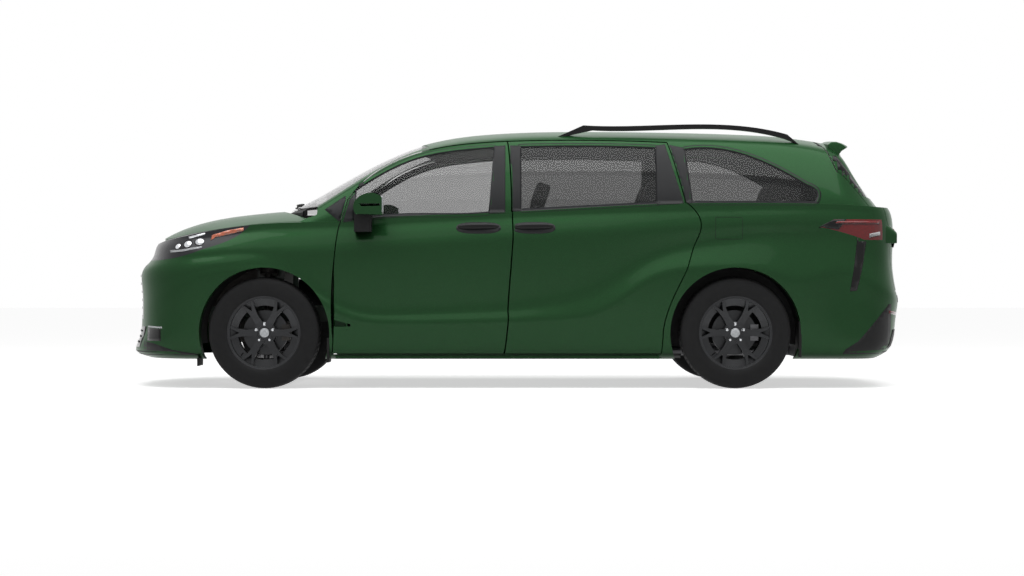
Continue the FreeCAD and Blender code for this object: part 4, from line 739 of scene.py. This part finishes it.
def lens(name, points, depth, carrier, mat, side, proud):
    """Small cover on a lamp, drawn by points of the photograph."""
    skin_sheet(name, [at(*p, depth) for p in points], carrier, mat, "body", side, proud, step=0.02,
               pulls=no_pull)


# Lamps

lamp_housing = plastic("lamp_housing", linear(46, 47, 50), 0.22, 0.06, 60.0)
nodes["headlamps"].data.materials[0] = lamp_housing
for side, word in SIDES.items():
    lens("indicator_" + word, ((211, 240.6), (215, 237.4), (230, 234.5), (246, 230.6), (250, 228.2),
                               (246, 227.4), (228, 230.4), (212, 235.2)),
         lamp_depth, ("headlamps",), amber, side, 0.003)
    lens("light_bar_" + word, ((188, 236.5), (205, 232.8), (205, 234.4), (189, 238.6)),
         lamp_depth, ("headlamps",), chrome, side, 0.003)
    lens("lower_light_bar_" + word, ((170, 250.2), (183, 249.6), (204, 246.2), (204, 247.8), (184, 251.6),
                                     (171, 252.6)),
         corner_depth, ("headlamps",), silver, side, 0.003)
    for i, (px, py, size) in enumerate(((200.5, 241.5, 0.031), (188.5, 244.0, 0.028), (178.0, 246.2, 0.022))):
        projector(f"projector_{word}_{i}", *at(px, py, 0.83), side, size)

    tail = ("tail_lamps", "side_frame_" + word)
    lens("tail_lamp_tip_" + word, ((817.5, 227.6), (833, 219.6), (846, 219.4), (838, 229.2)),
         0.88, tail, mats["gloss_black"], side, 0.003)
    lens("tail_light_line_" + word, ((836, 221.4), (880, 221.4), (880, 223.6), (834, 223.6)),
         lamp_depth, tail, mats["tail_lens"], side, 0.006)
    lens("reverse_lamp_" + word, ((869, 234.0), (880.5, 231.5), (881.0, 234.8), (869, 237.6)),
         lamp_depth, tail, white_lens, side, 0.004)
    skin_sheet("tail_corner_vent_" + word, [at(*p, lamp_depth) for p in (
        (857.0, 237.5), (866.5, 237.0), (862.5, 262.0), (855.5, 290.5), (848.5, 291.5), (853.5, 262.0))],
        ("side_frame_" + word, "rear_bumper"), mats["gloss_black"], "body", side, 0.0025)

# Mirrors and handles

mirror_face = metal("mirror_silver", linear(205, 208, 212), 0.05)
for side, word in SIDES.items():
    mirror = nodes["mirror_" + word]
    mirror.data.materials.append(mats["black_plastic"])
    for p in mirror.data.polygons:
        if p.center.z < 1.122 or abs(p.center.y) < 0.955:
            p.material_index = 1
    body = word + "_door"
    skin_sheet("mirror_indicator_" + word, [(-1.000, 1.196), (-0.866, 1.196), (-0.866, 1.181),
                                            (-0.985, 1.178)],
               ("mirror_" + word,), white_lens, body, side, 0.0015, step=0.02,
               pulls=no_pull)
    low, high = sorted((side * 0.972, side * 1.112))
    box_piece("mirror_glass_" + word, (-0.858, low, 1.142), (-0.8515, high, 1.243), mirror_face, body,
              0.002)
    for i, (carrier, rider, x0, x1) in enumerate((
            (("front_door_" + word,), body, -0.382, -0.092), (("sliding_doors",), "body", -0.016, 0.262))):
        middle, half, height, corners = (x0 + x1) / 2, (x1 - x0) / 2, 0.038, 28
        # The cup round each handle is a flat charcoal sheet: painted shade of the hollow behind the handle,
        # which is not modelled
        cup = []
        for k in range(corners):
            a = 2 * math.pi * k / corners
            cup.append((middle + half * abs(math.cos(a)) ** 0.7 * (1 if math.cos(a) > 0 else -1),
                        1.044 + height * abs(math.sin(a)) ** 0.8 * (1 if math.sin(a) > 0 else -1)))
        skin_sheet(f"handle_recess_shade_{word}_{i}", cup, carrier, pillar_black, rider, side, 0.001, 0.002, 0.02)
        y = skin_y(carrier, middle, 1.050, side)
        reach = half * 0.92
        bm = bmesh.new()
        bmesh.ops.create_cube(bm, size=2.0)
        bmesh.ops.subdivide_edges(bm, edges=bm.edges[:], cuts=11, use_grid_fill=True)
        for v in bm.verts:
            p = v.co.copy()
            round_off = (abs(p.x) ** 5 + abs(p.y) ** 3 + abs(p.z) ** 3) ** (-1 / 3.6)
            p *= round_off
            arch = 1 - p.x * p.x
            v.co = Vector((middle + p.x * reach, y + side * (0.002 + 0.014 * arch + 0.007 * p.y),
                           1.052 + p.z * (0.0125 + 0.002 * arch) + 0.002 * p.x))
        finish_piece(f"handle_{word}_{i}", bm, mats["gloss_black"], rider)

# Lower trim, plates, flaps and spoiler

for side, word in SIDES.items():
    skin_sheet("sill_trim_" + word, [(-1.150, 0.197), (-1.150, 0.224), (1.080, 0.224), (1.080, 0.197)],
               ("side_frame_" + word,), mats["black_plastic"], "body", side, 0.002,
               step=0.06)
    skin_sheet("fog_vent_" + word, [at(*p, nose_depth) for p in (
        (147.5, 327.5), (163.5, 328.5), (164.0, 340.5), (147.5, 340.5))], ("front_bumper",),
        mats["gloss_black"], "body", side, 0.002, step=0.02, pulls=no_pull)
    skin_sheet("fog_vent_edge_" + word, [at(*p, nose_depth) for p in (
        (148.0, 325.6), (165.0, 326.4), (165.0, 328.0), (148.0, 327.2))], ("front_bumper",), silver,
        "body", side, 0.003, step=0.02, pulls=no_pull)
    skin_sheet("front_lip_" + word, [at(*p, corner_depth) for p in (
        (141, 341.5), (152, 343.0), (175, 350.0), (200, 354.0), (200, 359.0), (141, 359.0))],
        ("front_bumper",), mats["black_plastic"], "body", side, 0.003, pulls=no_pull)
    skin_sheet("rear_lower_trim_" + word, [at(*p, corner_depth) for p in (
        (838, 358), (843, 349), (855.6, 341), (889, 304), (892, 304), (892, 358))], ("rear_bumper",),
        mats["black_plastic"], "body", side, 0.003, pulls=no_pull)
    skin_sheet("rear_pillar_gloss_" + word, [at(*p, 0.72) for p in (
        (816, 157.7), (834, 152), (866.6, 197), (854, 193.5))], ("tailgate", "tailgate_glass"),
        mats["gloss_black"], "tailgate", side, 0.0025, pulls=no_pull)
    for name, inner, outer, first, last, round_off in (
            ("rear_flap_", 0.745, 0.945, (1.842, 0.205), (1.860, 0.440), 0.004),
            ("front_flap_", 0.770, 0.945, (-1.222, 0.170), (-1.206, 0.330), 0.004),
            ("front_air_flap_", 0.700, 0.900, (-2.070, 0.146), (-2.056, 0.200), 0.003)):
        low, high = sorted((side * inner, side * outer))
        box_piece(name + word, (first[0], low, first[1]), (last[0], high, last[1]), seal, "body",
                  round_off)
    end_sheet("rear_reflector_" + word, [(side * 0.60, 0.470), (side * 0.80, 0.485), (side * 0.80, 0.505),
                                         (side * 0.60, 0.492)],
              ("rear_bumper",), mats["tail_lens"], "body", 1, 0.004, slot="tail_lens")
    if side == LEFT:
        flap = [at(*p, 0.97) for p in ((716, 217), (743, 217), (743, 239), (716, 239), (716, 217))]
        skin_line("filler_flap_line", flap, ("side_frame_left",), seal, "body", side, 0.0012)

end_sheet("front_lower_intake", [(-0.60, 0.262), (0.60, 0.262), (0.66, 0.400), (-0.66, 0.400)],
          ("front_bumper",), mats["gloss_black"], "body", -1, 0.002, slot="gloss_black")
for i in range(3):
    z = 0.292 + 0.036 * i
    end_sheet(f"intake_bar_{i}", [(-0.54, z), (0.54, z), (0.54, z + 0.012), (-0.54, z + 0.012)],
              ("front_bumper",), mats["black_plastic"], "body", -1, 0.006, 0.008, slot="black_plastic")
end_sheet("front_lip", [(-0.80, 0.192), (0.80, 0.192), (0.80, 0.236), (-0.80, 0.236)], ("front_bumper",),
          mats["black_plastic"], "body", -1, 0.004, slot="black_plastic")
end_sheet("front_plate", [(-0.155, 0.455), (0.155, 0.455), (0.155, 0.600), (-0.155, 0.600)],
          ("front_bumper", "grille"), plate, "body", -1, 0.010, 0.004, step=0.5, slot="black_plastic")
end_sheet("rear_bumper_lower", [(-0.78, 0.195), (0.78, 0.195), (0.70, 0.380), (-0.70, 0.380)],
          ("rear_bumper",), mats["black_plastic"], "body", 1, 0.003, slot="black_plastic")
end_sheet("rear_step_pad", [(-0.55, 0.560), (0.55, 0.560), (0.58, 0.606), (-0.58, 0.606)], ("rear_bumper",),
          mats["black_plastic"], "body", 1, 0.003, slot="black_plastic")
end_sheet("gate_plate_recess", [(-0.30, 0.742), (0.30, 0.742), (0.33, 0.905), (-0.33, 0.905)], ("tailgate",),
          pillar_black, "tailgate", 1, 0.002, slot="black_plastic")
end_sheet("rear_plate", [(-0.155, 0.755), (0.155, 0.755), (0.155, 0.885), (-0.155, 0.885)], ("tailgate",),
          plate, "tailgate", 1, 0.008, 0.003, step=0.5, slot="black_plastic")
end_sheet("gate_light_bar", [(-0.69, 0.985), (0.69, 0.985), (0.69, 1.045), (-0.69, 1.045)], ("tailgate",),
          mats["tail_lens"], "tailgate", 1, 0.004, slot="tail_lens")
end_sheet("gate_trim_bar", [(-0.60, 0.925), (0.60, 0.925), (0.60, 0.955), (-0.60, 0.955)], ("tailgate",),
          mats["gloss_black"], "tailgate", 1, 0.010, 0.008, slot="gloss_black")

bm = bmesh.new()
profile = [(2.080, 1.636), (2.112, 1.652), (2.160, 1.652), (2.205, 1.640), (2.243, 1.622), (2.243, 1.612),
           (2.202, 1.592), (2.168, 1.556), (2.090, 1.590)]
spoiler_rows = []
for k in range(25):
    t = -1 + k / 12
    keep = 1 - 0.30 * abs(t) ** 4
    drop = 0.030 * t * t
    spoiler_rows.append([bm.verts.new((2.080 + (x - 2.080) * keep, 0.600 * t, z - drop)) for x, z in profile])
for a, b in zip(spoiler_rows, spoiler_rows[1:]):
    for i in range(len(profile)):
        j = (i + 1) % len(profile)
        bm.faces.new([a[i], b[i], b[j], a[j]])
bm.faces.new(spoiler_rows[0])
bm.faces.new(list(reversed(spoiler_rows[-1])))
finish_piece("spoiler", bm, mats["paint"], "tailgate", bevel=0.003)


def wiper(name, points, carrier, body, down):
    """Wiper arm and blade on a pane, found from above, or from behind where the points are (height, side)."""
    row = []
    for x, y in points:
        if down:
            hit = tree(*carrier).ray_cast(Vector((x, y, above)), Vector((0, 0, -1)))
            if hit[0] is not None:
                row.append(hit[0] + Vector((-0.006, 0, 0.014)))
        else:
            hit = tree(*carrier).ray_cast(Vector((beyond, y, x)), Vector((-1, 0, 0)))
            if hit[0] is not None:
                row.append(hit[0] + Vector((0.014, 0, 0.004)))
    if len(row) < 3:
        return
    arm = [p + Vector((0, 0, 0.004)) for p in row]
    tube(name + "_arm", arm, 0.006, mats["black_plastic"], body)
    sink = Vector((0, 0, 0.006)) if down else Vector((0.006, 0, 0))
    tube(name + "_blade", [p - sink for p in row[1:]], 0.005, seal, body)


def glass_foot(y):
    """Foremost place of the windscreen at a distance from the middle."""
    x = -1.53
    while tree("windscreen").ray_cast(Vector((x, y, above)), Vector((0, 0, -1)))[0] is None and x < -1.2:
        x += 0.004
    return x


for i, (y0, y1) in enumerate(((-0.58, -0.03), (0.03, 0.58))):
    row = [y0 + (y1 - y0) * k / 8 for k in range(9)]
    wiper(f"wiper_{i}", [(glass_foot(y) + 0.012 + 0.006 * k, y) for k, y in enumerate(row)],
          ("windscreen",), "body", True)
wiper("rear_wiper", [(1.285 + 0.05 * k / 6, -0.02 + 0.34 * k / 6) for k in range(7)],
      ("tailgate_glass", "tailgate"), "tailgate", False)

# Cabin

nodes["steering_wheel"].data.materials[0] = leather
screen_turn = Matrix.Rotation(math.radians(-14), 4, "Y")
box_piece("centre_screen", (-0.818, -0.135, 0.985), (-0.800, 0.135, 1.100), screen_black, "body",
          0.004, screen_turn)

# Seats: sizes in metres, then channels as shares of the half width with the places of the headrests
seat_side, seat_width, bench_width = 0.399, 0.520, 1.140
seat_depth, back_depth, back_height, lean = 0.520, 0.120, 0.640, math.radians(20)
cushion_top, cushion_depth, head_width, head_height, head_depth = 0.640, 0.130, 0.260, 0.160, 0.100
one_place = ((-0.62, 0.62), (0.0,))
three_places = ((-0.36, 0.36), (-0.36, 0.0, 0.36))


def cushion(name, size, to_place, channels, cross):
    """Crowned cushion of one size, with sewn channels along it and across it, put in place by a matrix."""
    bm = bmesh.new()
    bmesh.ops.create_cube(bm, size=2.0)
    bmesh.ops.subdivide_edges(bm, edges=bm.edges[:], cuts=31, use_grid_fill=True)
    for v in bm.verts:
        p = v.co.copy()
        shrink = (abs(p.x) ** 7 + abs(p.y) ** 7 + abs(p.z) ** 7) ** (-1 / 7)
        q = p * shrink
        crown = 1 - 0.16 * (q.x * q.x + q.y * q.y) / 2
        fold = 0.0
        for at_y in channels:
            fold += math.exp(-((q.y - at_y) / 0.035) ** 2)
        for at_x in cross:
            fold += math.exp(-((q.x - at_x) / 0.030) ** 2)
        press = 0.0
        for at_x in (-0.93, 0.93):
            press += 0.5 * math.exp(-((q.x - at_x) / 0.03) ** 2)
        wrinkle = 0.012 * math.sin(9 * q.x + 5 * q.y) * math.sin(4 * q.y - 3 * q.x)
        up = q.z * crown * (1 + wrinkle)
        if q.z > 0.1:
            up -= 0.10 * min(1.0, fold + press) * q.z
        v.co = Vector((q.x * size[0] / 2, q.y * size[1] / 2, up * size[2] / 2))
    bmesh.ops.transform(bm, verts=bm.verts, matrix=to_place)
    o = finish_piece(name, bm, mats["seat_cloth"], "body")
    return o


def seat_set(name, x, y, width, node, places):
    """Cushion, back and headrests of one seat or bench, on a plain base."""
    low = cushion_top - cushion_depth
    middle = Matrix.Translation((x + seat_depth / 2, y, low + cushion_depth / 2))
    first = cushion(name + "_cushion", (seat_depth, width, cushion_depth), middle, places[0], (-0.35, 0.3))
    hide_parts(node)
    foot = Matrix.Translation((x + seat_depth - back_depth, y, cushion_top - 0.040))
    tilt = foot @ Matrix.Rotation(lean, 4, "Y")
    face = Matrix.Rotation(math.radians(-90), 4, "Y")
    cushion(name + "_back", (back_height, width, back_depth),
            tilt @ Matrix.Translation((back_depth / 2, 0, back_height / 2)) @ face, places[0], (-0.3, 0.35))
    for i, off in enumerate(places[1]):
        head = tilt @ Matrix.Translation((head_depth / 2, off, back_height + 0.020 + head_height / 2)) @ face
        cushion(f"{name}_headrest_{i}", (head_height, head_width, head_depth), head, (-0.8, 0.8), ())
        for j, leg in enumerate((-0.055, 0.055)):
            start = tilt @ Vector((head_depth / 2, off + leg, back_height - 0.02))
            end = tilt @ Vector((head_depth / 2, off + leg, back_height + 0.05))
            tube(f"{name}_post_{i}_{j}", [start, (start + end) / 2, end], 0.006, chrome, "body")
    ends, sides, bottom = 0.045, 0.06, 0.305 if x < 1.0 else 0.38
    box_piece(name + "_base", (x + ends, y - width / 2 + sides, bottom),
              (x + seat_depth - ends, y + width / 2 - sides, low + 0.015), mats["black_plastic"], "body",
              0.012)


front_row, middle_row, bench_row = [front_axle_x + wheelbase * share for share in (0.36, 0.60, 0.88)]
for side, word in SIDES.items():
    seat_set("front_seat_" + word, front_row, side * seat_side, seat_width, "front_seats", one_place)
    seat_set("middle_seat_" + word, middle_row, side * seat_side, seat_width, "rear_seats", one_place)
seat_set("rear_bench", bench_row, 0.0, bench_width, "rear_seats", three_places)


# Stage, light and camera

def shown_rays(shader_tree):
    """1 for the rays that see the white background: from the camera, through glass and off gloss."""
    rays = shader_tree.nodes.new("ShaderNodeLightPath")
    total = rays.outputs["Is Camera Ray"]
    for kind in ("Is Transmission Ray", "Is Glossy Ray"):
        larger = shader_tree.nodes.new("ShaderNodeMath")
        larger.operation = "MAXIMUM"
        shader_tree.links.new(total, larger.inputs[0])
        shader_tree.links.new(rays.outputs[kind], larger.inputs[1])
        total = larger.outputs[0]
    return total


def stage():
    """Floor: white and glowing a little to the rays that see it, dark to the others."""
    bm = bmesh.new()
    bmesh.ops.create_grid(bm, x_segments=1, y_segments=1, size=60.0)
    data = bpy.data.meshes.new("floor")
    bm.to_mesh(data)
    bm.free()
    floor = bpy.data.objects.new("floor_plane", data)
    bpy.context.scene.collection.objects.link(floor)
    m = bpy.data.materials.new("pale_floor")
    m.use_nodes = True
    tree_ = m.node_tree
    tree_.nodes.clear()
    out = tree_.nodes.new("ShaderNodeOutputMaterial")
    shown = tree_.nodes.new("ShaderNodeBsdfDiffuse")
    shown.inputs["Color"].default_value = (1, 1, 1, 1)
    glow = tree_.nodes.new("ShaderNodeEmission")
    glow.inputs["Color"].default_value = (1, 1, 1, 1)
    glow.inputs["Strength"].default_value = 0.58
    both = tree_.nodes.new("ShaderNodeAddShader")
    plain = tree_.nodes.new("ShaderNodeBsdfDiffuse")
    plain.inputs["Color"].default_value = (0.06, 0.06, 0.06, 1)
    pick = tree_.nodes.new("ShaderNodeMixShader")
    link = tree_.links.new
    link(shown.outputs[0], both.inputs[0])
    link(glow.outputs[0], both.inputs[1])
    link(shown_rays(tree_), pick.inputs["Fac"])
    link(plain.outputs[0], pick.inputs[1])
    link(both.outputs[0], pick.inputs[2])
    link(pick.outputs[0], out.inputs["Surface"])
    data.materials.append(m)


def world():
    """White to the rays that see it, and to the others a sky that brightens with height."""
    w = bpy.data.worlds.new("studio")
    bpy.context.scene.world = w
    w.use_nodes = True
    tree_ = w.node_tree
    tree_.nodes.clear()
    new, link = tree_.nodes.new, tree_.links.new
    out = new("ShaderNodeOutputWorld")
    coords = new("ShaderNodeTexCoord")
    split = new("ShaderNodeSeparateXYZ")
    link(coords.outputs["Generated"], split.inputs[0])
    levels = ((0.0, 0.03), (0.06, 0.04), (0.30, 0.08), (0.62, 0.36), (1.0, 0.62))
    rise = ramp(w, split, "Z", [(height, (level, level, level, 1)) for height, level in levels])
    white = new("ShaderNodeBackground")
    white.inputs["Strength"].default_value = 1.0
    white.inputs["Color"].default_value = (1, 1, 1, 1)
    studio = new("ShaderNodeBackground")
    studio.inputs["Strength"].default_value = 1.0
    link(rise.outputs["Color"], studio.inputs["Color"])
    pick = new("ShaderNodeMixShader")
    link(shown_rays(tree_), pick.inputs["Fac"])
    link(studio.outputs[0], pick.inputs[1])
    link(white.outputs[0], pick.inputs[2])
    link(pick.outputs[0], out.inputs["Surface"])


def lamp(name, where, look_at, size, energy):
    """Area light at a place, turned to another."""
    data = bpy.data.lights.new(name, "AREA")
    data.shape = "RECTANGLE"
    data.size, data.size_y = size
    data.energy = energy
    o = bpy.data.objects.new(name, data)
    o.location = where
    o.rotation_euler = (Vector(look_at) - Vector(where)).to_track_quat("-Z", "Y").to_euler()
    bpy.context.scene.collection.objects.link(o)


def camera():
    """Camera of the photograph, level and square to the left side."""
    data = bpy.data.cameras.new("camera")
    data.lens = lens_length
    data.sensor_width = sensor_width
    data.clip_end = 300.0
    o = bpy.data.objects.new("camera", data)
    o.location = (camera_x, camera_y, camera_z)
    o.rotation_euler = (math.pi / 2, 0, 0)
    bpy.context.scene.collection.objects.link(o)
    bpy.context.scene.camera = o


stage()
world()
lamp("overhead", (0.0, -1.7, 4.6), (0.0, -0.6, 0.5), (8.5, 3.6), 250)
lamp("side_left", (-0.5, -7.0, 6.0), (0.0, 0.0, 0.9), (9.0, 2.2), 45)
lamp("side_right", (0.5, 7.5, 5.0), (0.0, 0.0, 0.9), (9.0, 2.2), 12)
camera()
bpy.context.scene.view_settings.view_transform = "Standard"
